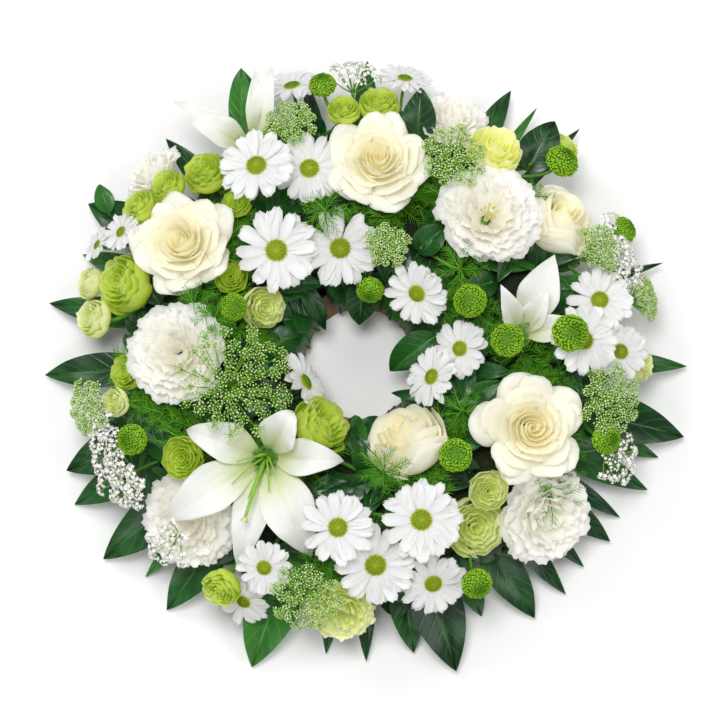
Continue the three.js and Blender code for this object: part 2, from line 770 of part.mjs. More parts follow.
// The shapes of one head of a spray in place, what others keep clear of, and where its stem leaves.
function placed(head) {
  if (head.kind === "leaf") {
    const share = 0.12;
    const bowed = 4 * (head.rise ?? LEAF_RISE) * share * (1 - share);
    const foot = vec(...head.base).lerp(vec(...head.tip), share).add(vec(0, 0, bowed));
    return { parts: [blade(head)], keep: [blade({ ...head, spare: 0.7 })], neck: foot, root: stand({ at: head.base }).root };
  }
  if (head.kind === "lily") {
    const [x, y, z] = head.throat;
    const cup = pleated(6, -11, [row(1, [8.5], [0])], 3).translate(x, y, z);
    const petal = { stations: 3, fold: 0.4, foot: 0.2, thick: 1 };
    const start = ({ tip }) => vec(tip[0] - x, tip[1] - y, 0).setLength(6).add(vec(x, y, z)).toArray();
    return {
      parts: [cup, ...head.petals.map((p) => blade({ ...petal, base: start(p), ...p }))],
      keep: head.petals.map((p) => blade({ ...petal, base: start(p), ...p, spare: 0.9 })),
      neck: vec(x, y, z - 11),
      facing: UP,
      root: stand({ at: [x, y] }).root,
    };
  }
  const { middle, facing, root } = stand(head);
  const { neck, keep, parts } = KINDS[head.kind](head);
  const turn = new THREE.Matrix4()
    .makeRotationFromQuaternion(new THREE.Quaternion().setFromUnitVectors(UP, facing))
    .setPosition(middle);
  const R = head.across / 2;
  const bowl = keep && turned(keep.map(([r, z]) => [r && r * R + NEIGHBOUR_GAP, z * R]), 8).applyMatrix4(turn);
  return {
    parts: parts.map((g) => g.applyMatrix4(turn)),
    keep: bowl ? [bowl] : [],
    neck: middle.clone().addScaledVector(facing, -neck),
    facing,
    root,
  };
}

// The line of a stem from a to b, and the ways that its three corners lie at either end. towards are three points round
// a, and down is the way that the head at a looks away from.
function stemLine(a, b, towards, down) {
  const along = b.clone().sub(a).normalize();
  const axis = down ?? along;
  const ways = towards.map((t) => t.clone().addScaledVector(axis, -t.dot(axis)).normalize());
  const turnedTo = (to) => {
    const turn = new THREE.Quaternion().setFromUnitVectors(axis, to);
    return ways.map((w) => w.clone().applyQuaternion(turn));
  };
  return { a, b, along, startWays: turnedTo(along.clone().add(axis).normalize()), endWays: turnedTo(along) };
}

// A closed prism on a stem's line. It starts from before a, ends past b and has the radii given at its corners.
function prism({ a, b, along, startWays, endWays }, startRadius, endRadius, before = 0, past = 0) {
  const [start, end] = [a.clone().addScaledVector(along, -before), b.clone().addScaledVector(along, past)];
  const points = [
    ...startWays.map((w) => start.clone().addScaledVector(w, startRadius)),
    ...endWays.map((w) => end.clone().addScaledVector(w, endRadius)),
  ];
  const sides = [0, 1, 2].flatMap((j) => {
    const i = (j + 1) % 3;
    return [[j, i, i + 3], [j, i + 3, j + 3]];
  });
  return geometryOf(points, [[2, 1, 0], [3, 4, 5], ...sides]);
}

// Draws the first point of a head's body, which its lower faces fan out from, out into a stem that ends at b.
function drawnOut(geometry, facing, b) {
  const p = geometry.attributes.position;
  const points = Array.from({ length: p.count }, (_, i) => vec().fromBufferAttribute(p, i));
  const faces = [];
  const next = new Map();
  for (let i = 0; i < geometry.index.count; i += 3) {
    const [x, y, z] = [0, 1, 2].map((k) => geometry.index.getX(i + k));
    if (x === 0) next.set(y, z);
    else faces.push([x, y, z]);
  }
  const ring = [next.keys().next().value];
  while (ring.length < next.size) ring.push(next.get(ring.at(-1)));
  const sector = (k) => Math.floor((3 * (k % ring.length)) / ring.length);
  const towards = [0, 1, 2].map((j) => middleOf(ring.filter((_, k) => sector(k) === j).map((i) => points[i])).sub(points[0]));
  const line = stemLine(points[0], b, towards, facing.clone().negate());
  const top = points.length;
  points.push(...line.startWays.map((w) => line.a.clone().addScaledVector(w, STEM.neck)));
  points.push(...line.endWays.map((w) => b.clone().addScaledVector(w, STEM.radius)));
  ring.forEach((v, k) => {
    const [j, before] = [sector(k), sector(k + ring.length - 1)];
    faces.push([top + j, v, ring[(k + 1) % ring.length]]);
    if (j !== before) faces.push([top + before, v, top + j]);
  });
  for (const j of [0, 1, 2]) {
    const i = (j + 1) % 3;
    faces.push([top + j, top + i, top + i + 3], [top + j, top + i + 3, top + j + 3]);
  }
  faces.push([top + 3, top + 4, top + 5]);
  return { body: geometryOf(points, faces), line };
}

// Builds one spray: the head nearest the crest has its stem in the foam, and the other stems branch from that one.
function grow({ name, colour = "leaf", heads, root }) {
  const grown = heads.map(placed);
  const offCrest = ({ neck, facing }) => Math.abs(hypot(neck.x, neck.y) - DOME.crest) + (facing ? 0 : 500);
  const chief = grown.reduce((best, g) => (offCrest(g) < offCrest(best) ? g : best));
  const foot = root ? vec(...root, ROOTS.height) : chief.root;
  const sleeves = [];
  const stems = [];
  const bodies = [];
  let forks = 0;
  for (const g of grown) {
    const height = min(FORK.height + FORK.step * forks, chief.neck.z - 3);
    const share = chief.facing ? (height - foot.z) / (chief.neck.z - foot.z) : 0.25 * (forks + 1);
    const end = g === chief ? foot : foot.clone().lerp(chief.neck, share);
    if (g !== chief) forks += 1;
    let line;
    if (g.facing) {
      const drawn = drawnOut(g.parts[0], g.facing, end);
      bodies.push(drawn.body, ...g.parts.slice(1));
      line = drawn.line;
    } else {
      line = stemLine(g.neck, end, [0, 1, 2].map((j) => vec(cos(2.1 * j), sin(2.1 * j), 0)));
      bodies.push(...g.parts, prism(line, STEM.radius, STEM.radius));
    }
    const spare = 2 * STEM.clearance;
    stems.push(prism(line, STEM.neck, STEM.radius));
    sleeves.push(prism(line, STEM.neck + spare, STEM.radius + spare, 0.3, 0.6));
  }
  return {
    name,
    colour,
    rooted: true,
    head: joined(bodies.map(solidOf)),
    stems: stems.map(solidOf),
    sleeves: sleeves.map(solidOf),
    keeps: grown.flatMap((g) => g.keep).map(solidOf),
  };
}

// A tube in one piece along level points, with a triangular section.
function tubeAlong(path, radius) {
  const points = [];
  path.forEach((p, k) => {
    const ahead = path[min(k + 1, path.length - 1)].clone().sub(path[max(k - 1, 0)]).normalize();
    const side = ahead.cross(UP);
    for (const angle of [0.5 * PI, (7 * PI) / 6, (11 * PI) / 6]) {
      points.push(p.clone().addScaledVector(side, radius * cos(angle)).addScaledVector(UP, radius * sin(angle)));
    }
  });
  const last = points.length - 3;
  const faces = [[0, 1, 2], [last + 2, last + 1, last]];
  for (let k = 0; k < last; k += 3) {
    for (const j of [0, 1, 2]) {
      const i = (j + 1) % 3;
      faces.push([k + i, k + j, k + j + 3], [k + i, k + j + 3, k + i + 3]);
    }
  }
  return geometryOf(points, faces);
}

// A leafy twig bent round the outside of the foam, pinned into it at both ends.
function garland({ name, leaves }) {
  const onCircle = ([x, y]) => vec(x, y, 0).setLength(TWIG.circle).setZ(TWIG.height);
  const nodes = leaves.map(({ tip }) => onCircle(tip));
  const arc = [];
  for (let k = 0; k + 1 < nodes.length; k++) {
    const [a, b] = [nodes[k], nodes[k + 1]];
    const steps = max(1, Math.ceil(a.distanceTo(b) / 45));
    for (let s = 0; s < steps; s++) arc.push(onCircle(a.clone().lerp(b, s / steps).toArray()));
  }
  arc.push(nodes.at(-1));
  const pinEnd = (p, spare) => vec(p.x, p.y, 0).setLength(TWIG.circle - TWIG.pinDepth - spare).setZ(TWIG.height);
  const pins = [nodes[0], nodes.at(-1)].map((p) => {
    const end = pinEnd(p, 0);
    const side = end.clone().sub(p).cross(UP).normalize();
    const ways = [UP.clone(), side.clone().sub(UP), side.clone().negate().sub(UP)];
    return stemLine(p, end, ways);
  });
  const prisms = pins.map((line) => prism(line, TWIG.radius, TWIG.radius));
  const wide = TWIG.radius + 2 * STEM.clearance;
  const blades = leaves.map(({ tip, wide }, k) => ({ base: nodes[k].toArray(), tip, wide }));
  return {
    name,
    colour: "leaf",
    head: joined([...blades.map(blade), tubeAlong(arc, TWIG.radius), ...prisms].map(solidOf)),
    stems: [],
    sleeves: pins.map((l) => solidOf(prism(l, wide, wide, 0, 0.6))),
    keeps: [],
  };
}

// Whether two solids' boxes meet.
function near(a, b) {
  const [p, q] = [a.boundingBox(), b.boundingBox()];
  return [0, 1, 2].every((k) => p.min[k] < q.max[k] && q.min[k] < p.max[k]);
}

// Trims a spray clear of the other sprays' stems, of the heads in front and of the foam, and keeps what its own stems
// carry.
function trimmed(spray, index, sprays) {
  const meets = (solid, cutter) => near(solid, cutter) && solid.intersect(cutter).volume() > 0;
  const severed = new Set();
  let { head } = spray;
  sprays.forEach((other, k) => {
    if (other === spray) return;
    for (const cutter of k < index ? [...other.sleeves, ...other.keeps] : other.sleeves) {
      if (!meets(head, cutter)) continue;
      head = head.subtract(cutter);
      spray.stems.filter((stem) => meets(stem, cutter)).forEach((stem) => severed.add(stem));
    }
  });
  const bank = foamKeep.subtract(joined(spray.sleeves));
  if (spray.rooted && meets(head, bank)) head = head.subtract(bank);
  const pieces = joined([head, ...severed]).decompose();
  return pieces.reduce((most, p) => (p.volume() > most.volume() ? p : most));
}

// The pulp tray: a faceted ring channel.
function tray() {
  const { innerFoot, innerLip, outerFoot, outerLip, height, wall, facets } = TRAY;
  return solidOf(
    turned(
      [
        [innerFoot, 0],
        [outerFoot, 0],
        [outerLip, height],
        [outerLip - wall, height],
        [outerFoot - wall, wall],
        [innerFoot + wall, wall],
        [innerLip + wall, height],
        [innerLip, height],
        [innerFoot, 0],
      ],
      facets,
    ),
  );
}

// The ring of floral foam, before the stems' holes, larger all round by spare.
function foamRing(spare = 0) {
  const { inner, foot, outer, shoulder, bevel, crown, sides } = FOAM;
  const floor = TRAY.wall + SEAT_GAP - spare;
  const ring = [
    [inner - spare, floor],
    [foot + spare, floor],
    [outer + spare, shoulder],
    [outer + spare - bevel, crown + spare],
    [inner - spare + bevel, crown + spare],
    [inner - spare, shoulder],
    [inner - spare, floor],
  ];
  return solidOf(turned(ring, sides));
}

const wreath = new THREE.Group();

// Adds a solid to the wreath as a named mesh.
function addNode(name, solid, colour) {
  const mesh = solid.getMesh();
  const positions = new Float32Array(mesh.numVert * 3);
  for (let i = 0; i < mesh.numVert; i++) {
    positions.set(mesh.vertProperties.subarray(i * mesh.numProp, i * mesh.numProp + 3), i * 3);
  }
  const geometry = new THREE.BufferGeometry()
    .setAttribute("position", new THREE.BufferAttribute(positions, 3))
    .setIndex(new THREE.BufferAttribute(mesh.triVerts, 1));
  const [color, roughness] = COLOURS[colour];
  const node = new THREE.Mesh(geometry, new THREE.MeshStandardMaterial({ color, roughness, metalness: 0 }));
  node.name = name;
  wreath.add(node);
}

const sprays = [...PLANTING.map(grow), ...INNER_LEAVES.map(grow), ...GARLANDS.map(garland)];
const foamKeep = foamRing(STEM.clearance);
const foam = sprays.reduce((ring, spray) => ring.subtract(joined(spray.sleeves)), foamRing());

addNode("pulp_tray", tray(), "tray");
addNode("foam_ring", foam, "foam");
sprays.forEach((spray, index) => addNode(spray.name, trimmed(spray, index, sprays), spray.colour));

// The origin is the middle of the wreath's footprint, on the ground.
const extent = new THREE.Box3().setFromObject(wreath);
const middle = extent.getCenter(vec());
wreath.position.set(-middle.x, -middle.y, -extent.min.z);

export default wreath;
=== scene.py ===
"""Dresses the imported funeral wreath: fine petals, leaves, florets and stems stand for its plain solids.

Shapes are worked out in millimetres round the middle of the foam ring and written in metres in the part's frame.
"""

from __future__ import annotations

import logging
import math
from collections.abc import Callable, Sequence
from dataclasses import dataclass, replace
from enum import Enum
from functools import partial
from typing import NamedTuple

import bpy
import numpy as np
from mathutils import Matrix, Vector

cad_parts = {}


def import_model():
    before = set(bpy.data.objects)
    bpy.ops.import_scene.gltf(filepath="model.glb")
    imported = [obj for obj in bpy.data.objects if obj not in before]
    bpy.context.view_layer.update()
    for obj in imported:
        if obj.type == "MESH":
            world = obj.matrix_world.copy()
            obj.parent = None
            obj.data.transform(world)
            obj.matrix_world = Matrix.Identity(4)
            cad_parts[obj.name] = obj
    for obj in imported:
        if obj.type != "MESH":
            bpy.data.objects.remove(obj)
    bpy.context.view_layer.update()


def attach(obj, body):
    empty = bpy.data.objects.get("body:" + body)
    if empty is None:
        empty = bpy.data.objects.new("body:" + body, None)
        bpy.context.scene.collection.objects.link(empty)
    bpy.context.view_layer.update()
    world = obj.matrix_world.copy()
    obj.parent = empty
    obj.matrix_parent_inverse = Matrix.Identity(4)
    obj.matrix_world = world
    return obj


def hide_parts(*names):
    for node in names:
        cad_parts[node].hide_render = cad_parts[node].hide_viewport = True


LOG = logging.getLogger("wreath")
MM = 0.001
RING_MIDDLE = np.array([-5.0, -0.5, 0.0])  # where the ring's middle lies in the part's frame
UP = np.array([0.0, 0.0, 1.0])
GOLDEN = 2.39996  # the angle from one floret to the next in a head
EDGE_ANGLE = math.radians(85)  # a petal's two faces meet at its edge more sharply than this
PETAL_THICK = 0.6
LEAF_THICK = 0.6
TIP_SHARE = 0.01  # how wide a blade still is at its tip, as a share of its width
PLAIN_LEAF = (11, 7)  # the rows and columns of a leaf that others half hide
FINE_LEAF = (19, 13)  # the same for one that shows whole
LEAF_HANDICAP = 500.0  # keeps a leaf from being a stem's chief head

Array = np.ndarray
Point = Sequence[float]
Colour = tuple[float, float, float]
Rng = np.random.Generator
Tree = bpy.types.NodeTree
Socket = bpy.types.NodeSocket


class Kind(Enum):
    """What a head of a spray is."""

    ROSE = "rose"
    HALF_ROSE = "half open rose"
    LISIANTHUS = "lisianthus"
    OPEN_LISIANTHUS = "lisianthus with an open heart"
    GOBLET = "small double bloom"
    DAISY = "daisy"
    BUTTON = "button"
    UMBEL = "umbel"
    FILLER = "filler"
    FROND = "frond"
    LEAF = "leaf"
    LILY = "lily"


class Tint(Enum):
    """Which finish a lime bloom has."""

    LIME = "lime"
    PALE = "pale_lime"
    YELLOW = "yellow_lime"


def unit(v: Array) -> Array:
    """Returns v, or each row of it, at length 1."""
    return v / np.maximum(np.linalg.norm(v, axis=-1, keepdims=True), 1e-12)


def bezier(a: Array, b: Array, c: Array, t: Array) -> Array:
    """Returns the points, at the shares t, of a curve from a to c that b pulls."""
    t = np.asarray(t, float)[..., None]
    return (1 - t) ** 2 * a + 2 * t * (1 - t) * b + t**2 * c


def turn_to(way: Array) -> Array:
    """Works out the smallest turn that takes +Z to a way.

    Args:
        way: where +Z goes, at any length.

    Returns:
        The turn as a matrix.
    """
    w = unit(np.asarray(way, float))
    if w[2] < -0.9999:
        return np.diag([1.0, -1.0, -1.0])
    k = 1 / (1 + w[2])
    return np.array(
        [
            [1 - w[0] * w[0] * k, -w[0] * w[1] * k, w[0]],
            [-w[0] * w[1] * k, 1 - w[1] * w[1] * k, w[1]],
            [-w[0], -w[1], w[2]],
        ]
    )


def smooth(a: float, b: float, x: Array) -> Array:
    """Returns 0 below a, 1 above b and a soft step between."""
    t = np.clip((x - a) / (b - a), 0, 1)
    return t * t * (3 - 2 * t)


def spoke(r: float, angle: float, z: float) -> Array:
    """Returns the point at height z that lies r out along an angle."""
    return np.array([r * math.cos(angle), r * math.sin(angle), z])


def turned_out(r: Array, side: Array | float, z: Array, angle: Array | float) -> Array:
    """Returns the points at height z that lie r out along an angle and side across it."""
    return np.stack([r * np.cos(angle) - side * np.sin(angle), r * np.sin(angle) + side * np.cos(angle), z], -1)


class Draft:
    """Gathers the surfaces of one piece, each with its finish and its own along, across and tone values."""

    def __init__(self) -> None:
        """Starts an empty draft."""
        self.points: list[Array] = []
        self.marks: list[Array] = []
        self.faces: list[tuple[Array, int]] = []
        self.finishes: list[str] = []
        self.count = 0

    def add(self, points: Array, faces: Array, finish: str, along: Array | float = 0.5, across: Array | float = 0.0,
            tone: Array | float = 0.5) -> None:
        """Adds a surface.

        Args:
            points: its points, n by 3.
            faces: the corners of its faces, all with three or all with four.
            finish: the name of its finish.
            along: how far each point is from the base, 0, to the tip, 1.
            across: how far each point is from the midrib, -1 to 1.
            tone: a number from 0 to 1 that varies the colour from one petal to the next.
        """
        n = len(points)
        marks = np.empty((n, 3))
        marks[:, 0], marks[:, 1], marks[:, 2] = along, across, tone
        self.points.append(points)
        self.marks.append(marks)
        self.faces.append((np.asarray(faces) + self.count, self.slot_of(finish)))
        self.count += n

    def slot_of(self, finish: str) -> int:
        """Finds a finish's number in the piece, and takes it in on its first use.

        Args:
            finish: its name.

        Returns:
            The number.
        """
        if finish not in self.finishes:
            self.finishes.append(finish)
        return self.finishes.index(finish)

    def triangles(self) -> int:
        """Returns how many triangles the draft holds."""
        return sum(len(f) * (f.shape[1] - 2) for f, _ in self.faces)

    def piece(self, name: str, slot: str, *nodes: str) -> None:
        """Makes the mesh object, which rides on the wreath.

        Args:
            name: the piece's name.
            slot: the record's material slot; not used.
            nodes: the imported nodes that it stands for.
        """
        mesh = bpy.data.meshes.new(name)
        points = (np.concatenate(self.points) + RING_MIDDLE) * MM
        corners = np.concatenate([f.ravel() for f, _ in self.faces]).astype(np.int32)
        sizes = np.concatenate([np.full(len(f), f.shape[1]) for f, _ in self.faces]).astype(np.int32)
        finish = np.concatenate([np.full(len(f), m) for f, m in self.faces]).astype(np.int32)
        mesh.vertices.add(len(points))
        mesh.vertices.foreach_set("co", points.astype(np.float32).ravel())
        mesh.loops.add(len(corners))
        mesh.loops.foreach_set("vertex_index", corners)
        mesh.polygons.add(len(sizes))
        mesh.polygons.foreach_set("loop_start", np.concatenate([[0], np.cumsum(sizes)[:-1]]).astype(np.int32))
        mesh.polygons.foreach_set("material_index", finish)
        mesh.polygons.foreach_set("use_smooth", np.ones(len(sizes), bool))
        marks = np.concatenate(self.marks).astype(np.float32)
        for k, mark in enumerate(("along", "across", "tone")):
            mesh.attributes.new(mark, "FLOAT", "POINT").data.foreach_set("value", marks[:, k].copy())
        mesh.update(calc_edges=True)
        mesh.validate()
        mesh.set_sharp_from_angle(angle=EDGE_ANGLE)
        for key in self.finishes:
            mesh.materials.append(FINISHES[key].material())
        piece = bpy.data.objects.new(name, mesh)
        bpy.context.scene.collection.objects.link(piece)
        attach(piece, "root")
        if nodes:
            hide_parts(*nodes)
        LOG.info("%s: %d triangles", name, self.triangles())


@dataclass
class Place:
    """A head's own frame: its face looks along +Z from the middle."""

    middle: Array
    turn: Array

    def put(self, points: Array) -> Array:
        """Returns points given in the head's frame, in the wreath's."""
        return points @ self.turn.T + self.middle


class Bench(NamedTuple):
    """What a head is made with: the draft it goes to, its frame, its radius and the draw that varies it."""

    draft: Draft
    place: Place
    radius: float
    rng: Rng


def sheet_faces(nu: int, nv: int, ring: bool = False) -> Array:
    """Makes the faces of a grid of points.

    Args:
        nu: how many rows it has.
        nv: how many points a row has.
        ring: whether each row is closed to a ring.

    Returns:
        The corners of the faces, each with four.
    """
    u, v = np.meshgrid(np.arange(nu - 1), np.arange(nv if ring else nv - 1), indexing="ij")
    w = (v + 1) % nv
    return np.stack([u * nv + v, u * nv + w, (u + 1) * nv + w, (u + 1) * nv + v], -1).reshape(-1, 4)


def shell(draft: Draft, grid: Array, thick: float, finish: str, under: str | None = None, tone: float = 0.5) -> None:
    """Adds a thin closed blade whose two faces meet at its edge.

    Args:
        draft: where it goes.
        grid: its middle surface, nu by nv by 3.
        thick: its thickness in the middle.
        finish: the finish of its upper face.
        under: the finish of its lower face, the same if None.
        tone: the blade's tone.
    """
    nu, nv = grid.shape[:2]
    du, dv = np.gradient(grid, axis=0), np.gradient(grid, axis=1)
    offset = unit(np.cross(du, dv)) * thick / 2
    inside = np.zeros((nu, nv), bool)
    inside[1:-1, 1:-1] = True
    top = np.where(inside[..., None], grid + offset, grid).reshape(-1, 3)
    low = (grid - offset)[inside]
    index = np.arange(nu * nv).reshape(nu, nv)
    index[inside] = nu * nv + np.arange(len(low))
    along = np.repeat(np.linspace(0, 1, nu)[:, None], nv, 1)
    across = np.repeat(np.linspace(-1, 1, nv)[None, :], nu, 0)
    faces = sheet_faces(nu, nv)
    points = np.concatenate([top, low])
    marks = [np.concatenate([m.ravel(), m[inside]]) for m in (along, across)]
    draft.add(points, faces[:, ::-1], finish, *marks, tone)
    back = index.ravel()[faces] + draft.count - len(points)
    draft.faces.append((back, draft.slot_of(under or finish)))


def tube(draft: Draft, path: Array, radii: Array | float, finish: str, sides: int = 6, tone: float = 0.5) -> None:
    """Adds a closed stalk.

    Args:
        draft: where it goes.
        path: the points that it runs along.
        radii: its radius at each of them.
        finish: its finish.
        sides: how many sides it has.
        tone: its tone.
    """
    path = np.asarray(path, float)
    n = len(path)
    radii = np.broadcast_to(np.asarray(radii, float), (n,))
    ahead = unit(np.gradient(path, axis=0))
    first = np.cross(ahead[0], [0.3, 0.9, 0.2])
    side = np.empty_like(ahead)
    for k in range(n):
        first = first - ahead[k] * (first @ ahead[k])
        first = unit(first)
        side[k] = first
    other = np.cross(ahead, side)
    angle = np.linspace(0, 2 * np.pi, sides, endpoint=False)
    ring = side[:, None] * np.cos(angle)[None, :, None] + other[:, None] * np.sin(angle)[None, :, None]
    points = (path[:, None] + ring * radii[:, None, None]).reshape(-1, 3)
    along = np.repeat(np.linspace(0, 1, n), sides)
    draft.add(points, sheet_faces(n, sides, ring=True), finish, along, 0.0, tone)
    base = draft.count - len(points)
    for start, flip in ((0, -1), ((n - 1) * sides, 1)):
        cap = (base + start + np.arange(sides))[::flip]
        fans = np.stack([np.full(sides - 2, cap[0]), cap[1:-1], cap[2:]], -1)
        draft.faces.append((fans, draft.slot_of(finish)))


@dataclass(frozen=True)
class Stamp:
    """A small closed shape that is placed many times, made about the origin and growing along +Z."""

    points: Array
    faces: Array
    along: Array

    def scatter(self, draft: Draft, where: Array, ways: Array, sizes: Array, finish: str, tone: Array | float = 0.5,
                tall: Array | float = 1.0, along: Array | None = None) -> None:
        """Adds a copy at each place.

        Args:
            draft: where the copies go.
            where: their places, k by 3.
            ways: the way each one grows, k by 3.
            sizes: their sizes, k.
            finish: their finish.
            tone: their tones, k.
            tall: how much longer than wide each is.
            along: one along value for each whole copy, or None to keep the shape's own.
        """
        ways = unit(np.asarray(ways, float))
        k, n = len(where), len(self.points)
        helper = np.where(np.abs(ways[:, 2:3]) > 0.9, np.array([[1.0, 0, 0]]), UP[None])
        x = unit(np.cross(helper, ways))
        y = np.cross(ways, x)
        sizes = np.broadcast_to(np.asarray(sizes, float), (k,))
        scaled = self.points[None] * sizes[:, None, None]
        high = scaled[..., 2:3] * np.broadcast_to(np.asarray(tall, float), (k,))[:, None, None]
        points = where[:, None] + scaled[..., 0:1] * x[:, None] + scaled[..., 1:2] * y[:, None] + high * ways[:, None]
        faces = (self.faces[None] + (np.arange(k) * n)[:, None, None]).reshape(-1, self.faces.shape[1])
        marks = np.tile(self.along, k) if along is None else np.repeat(along, n)
        tones = np.repeat(np.broadcast_to(np.asarray(tone, float), (k,)), n)
        draft.add(points.reshape(-1, 3), faces, finish, marks, 0.0, tones)


def ringed(sides: int, rows: Sequence[tuple[float, float]], top: float, bottom: float, star: float = 0.0) -> Stamp:
    """Makes a small closed shape from rows of (radius, height).

    Args:
        sides: how many points there are to a row.
        rows: the rows from the foot upwards.
        top: the height of its last point.
        bottom: the height of its first point.
        star: how far every other point is drawn in.

    Returns:
        The shape as a stamp.
    """
    angle = np.linspace(0, 2 * np.pi, sides, endpoint=False)
    pull = 1 - star * (np.arange(sides) % 2)
    body = [np.stack([r * pull * np.cos(angle), r * pull * np.sin(angle), np.full(sides, z)], -1) for r, z in rows]
    points = np.concatenate([[[0, 0, bottom]], *body, [[0, 0, top]]])
    grid = sheet_faces(len(rows), sides, ring=True) + 1
    faces = [np.concatenate([grid[:, [0, 1, 2]], grid[:, [0, 2, 3]]])]
    k = np.arange(sides)
    nxt = (k + 1) % sides
    last = 1 + (len(rows) - 1) * sides
    faces.append(np.stack([np.zeros(sides, int), 1 + nxt, 1 + k], -1))
    faces.append(np.stack([np.full(sides, len(points) - 1), last + k, last + nxt], -1))
    heights = points[:, 2]
    along = (heights - heights.min()) / max(np.ptp(heights), 1e-9)
    return Stamp(points, np.concatenate(faces), along)


CUP_FLORET = ringed(4, [(0.5, 0.0), (1.0, 1.0)], 0.55, -0.2)
KNOB = ringed(4, [(0.95, 0.3)], 1.1, -0.4)
STAR_FLORET = ringed(10, [(1.0, 0.15)], 0.05, -0.25, star=0.55)
STRAW = ringed(3, [(1.0, 0.3)], 1.0, 0.0)
STIGMA = ringed(12, [(0.6, -0.8), (1.0, 0.0), (0.85, 0.35)], 0.25, -1.4, star=0.18)


@dataclass(frozen=True)
class Whorl:
    """One round of like petals that wrap about a head's axis. Lengths are shares of the head's radius."""

    count: int
    rim: float  # how far out the petals' edges are
    top: float  # how high they are
    belly: tuple[float, float]  # the radius and height that pull the petals' curve
    half: float  # half the angle that a petal spans
    roll: float = 0.0  # how far the edge rolls back
    ruffle: float = 0.0  # how far the edge waves
    frill: float = 0.0  # how far its fine frilled edge waves
    waves: int = 4
    point: float = 0.08  # how far the tip stands over the petal's shoulders
    spiral: float = 0.05  # how far one side lies outside its neighbour
    foot: tuple[float, float] = (0.1, -0.6)
    grid: tuple[int, int] = (10, 11)

    def petals(self, bench: Bench, finish: str, depth: float, first: float) -> None:
        """Adds the whorl.

        Args:
            bench: what they are made with.
            finish: their finish.
            depth: 0 for the outermost whorl to 1 for the heart, kept in the tone.
            first: the angle of the first petal.
        """
        draft, place, radius, rng = bench
        u, v = np.linspace(0, 1, self.grid[0])[:, None], np.linspace(-1, 1, self.grid[1])[None, :]
        for k in range(self.count):
            jitter = rng.normal(0, 1, 6)
            phi0 = first + (k + 0.06 * jitter[0]) * 2 * np.pi / self.count
            off = np.sqrt(v**2 + 0.012)
            edge = 1 - self.point * off**1.05 - (0.16 + 0.03 * jitter[1]) * off**3
            s = u * edge
            foot, belly = np.array(self.foot), np.array(self.belly) * (1 + 0.04 * jitter[2])
            rim = np.array([self.rim * (1 + 0.035 * jitter[3]), self.top + 0.035 * jitter[4]])
            line = bezier(foot, belly, rim, s)
            r, z = line[..., 0], line[..., 1]
            turned = smooth(0.68, 1.0, u) * (0.25 + 0.75 * smooth(0, 0.75, off))
            r = r + self.roll * turned
            z = z - self.roll * 1.1 * turned**1.6
            span = self.half * (0.3 + 0.7 * np.sin(np.pi / 2 * np.minimum(1, s * 1.35)))
            phi = phi0 + v * span
            r = r * (1 + self.spiral * v)
            if self.ruffle:
                swell = u**2.5
                phase = rng.uniform(0, 2 * np.pi, 3)
                z = z + self.ruffle * swell * np.sin(self.waves * 1.6 * v + phase[0])
                z = z + 0.5 * self.ruffle * swell**2 * np.sin(self.waves * 4.1 * v + phase[1])
                r = r + 0.45 * self.ruffle * swell**3 * np.sin(self.waves * 7.3 * v + phase[0])
                r = r + 0.8 * self.ruffle * swell * np.sin(self.waves * 2.3 * v + phase[2])
            if self.frill:
                fine = self.frill * smooth(0.72, 1.0, u) * (1 + 0.5 * np.sin(5.3 * v + jitter[0]))
                turns = self.half * self.rim * 24
                z = z + fine * np.sin(turns * v + 3 * np.sin(2.1 * v + jitter[1]))
                r = r + 0.8 * fine * np.cos(turns * 1.3 * v + 2 * np.sin(3.7 * v + jitter[2]))
            grid = turned_out(r, 0, z, phi) * radius
            tone = float(np.clip(0.15 + 0.75 * depth + 0.06 * jitter[5], 0, 1))
            shell(draft, place.put(grid), PETAL_THICK, finish, tone=tone)


ROSE_WHORLS = (
    Whorl(5, 1.04, -0.12, (0.6, -0.34), 0.76, roll=0.12, point=0.5, foot=(0.12, -0.6), grid=(14, 19), ruffle=0.016),
    Whorl(5, 0.92, 0.0, (0.6, -0.3), 0.76, roll=0.12, point=0.48, grid=(14, 19), ruffle=0.014),
    Whorl(5, 0.75, 0.1, (0.5, -0.3), 0.82, roll=0.1, point=0.42, grid=(13, 17), ruffle=0.012),
    Whorl(4, 0.57, 0.18, (0.42, -0.3), 1.0, roll=0.08, point=0.24, grid=(12, 15), ruffle=0.012),
    Whorl(4, 0.43, 0.22, (0.36, -0.3), 1.04, roll=0.055, grid=(11, 14), spiral=0.12),
    Whorl(4, 0.32, 0.23, (0.3, -0.3), 1.1, roll=0.035, grid=(10, 13), spiral=0.18),
    Whorl(3, 0.23, 0.22, (0.23, -0.3), 1.5, roll=0.02, grid=(9, 13), spiral=0.24),
    Whorl(3, 0.15, 0.2, (0.16, -0.3), 1.6, roll=0.012, grid=(8, 13), spiral=0.3, foot=(0.05, -0.5)),
    Whorl(2, 0.075, 0.17, (0.09, -0.3), 2.2, roll=0.0, grid=(7, 13), spiral=0.35, foot=(0.03, -0.5)),
)
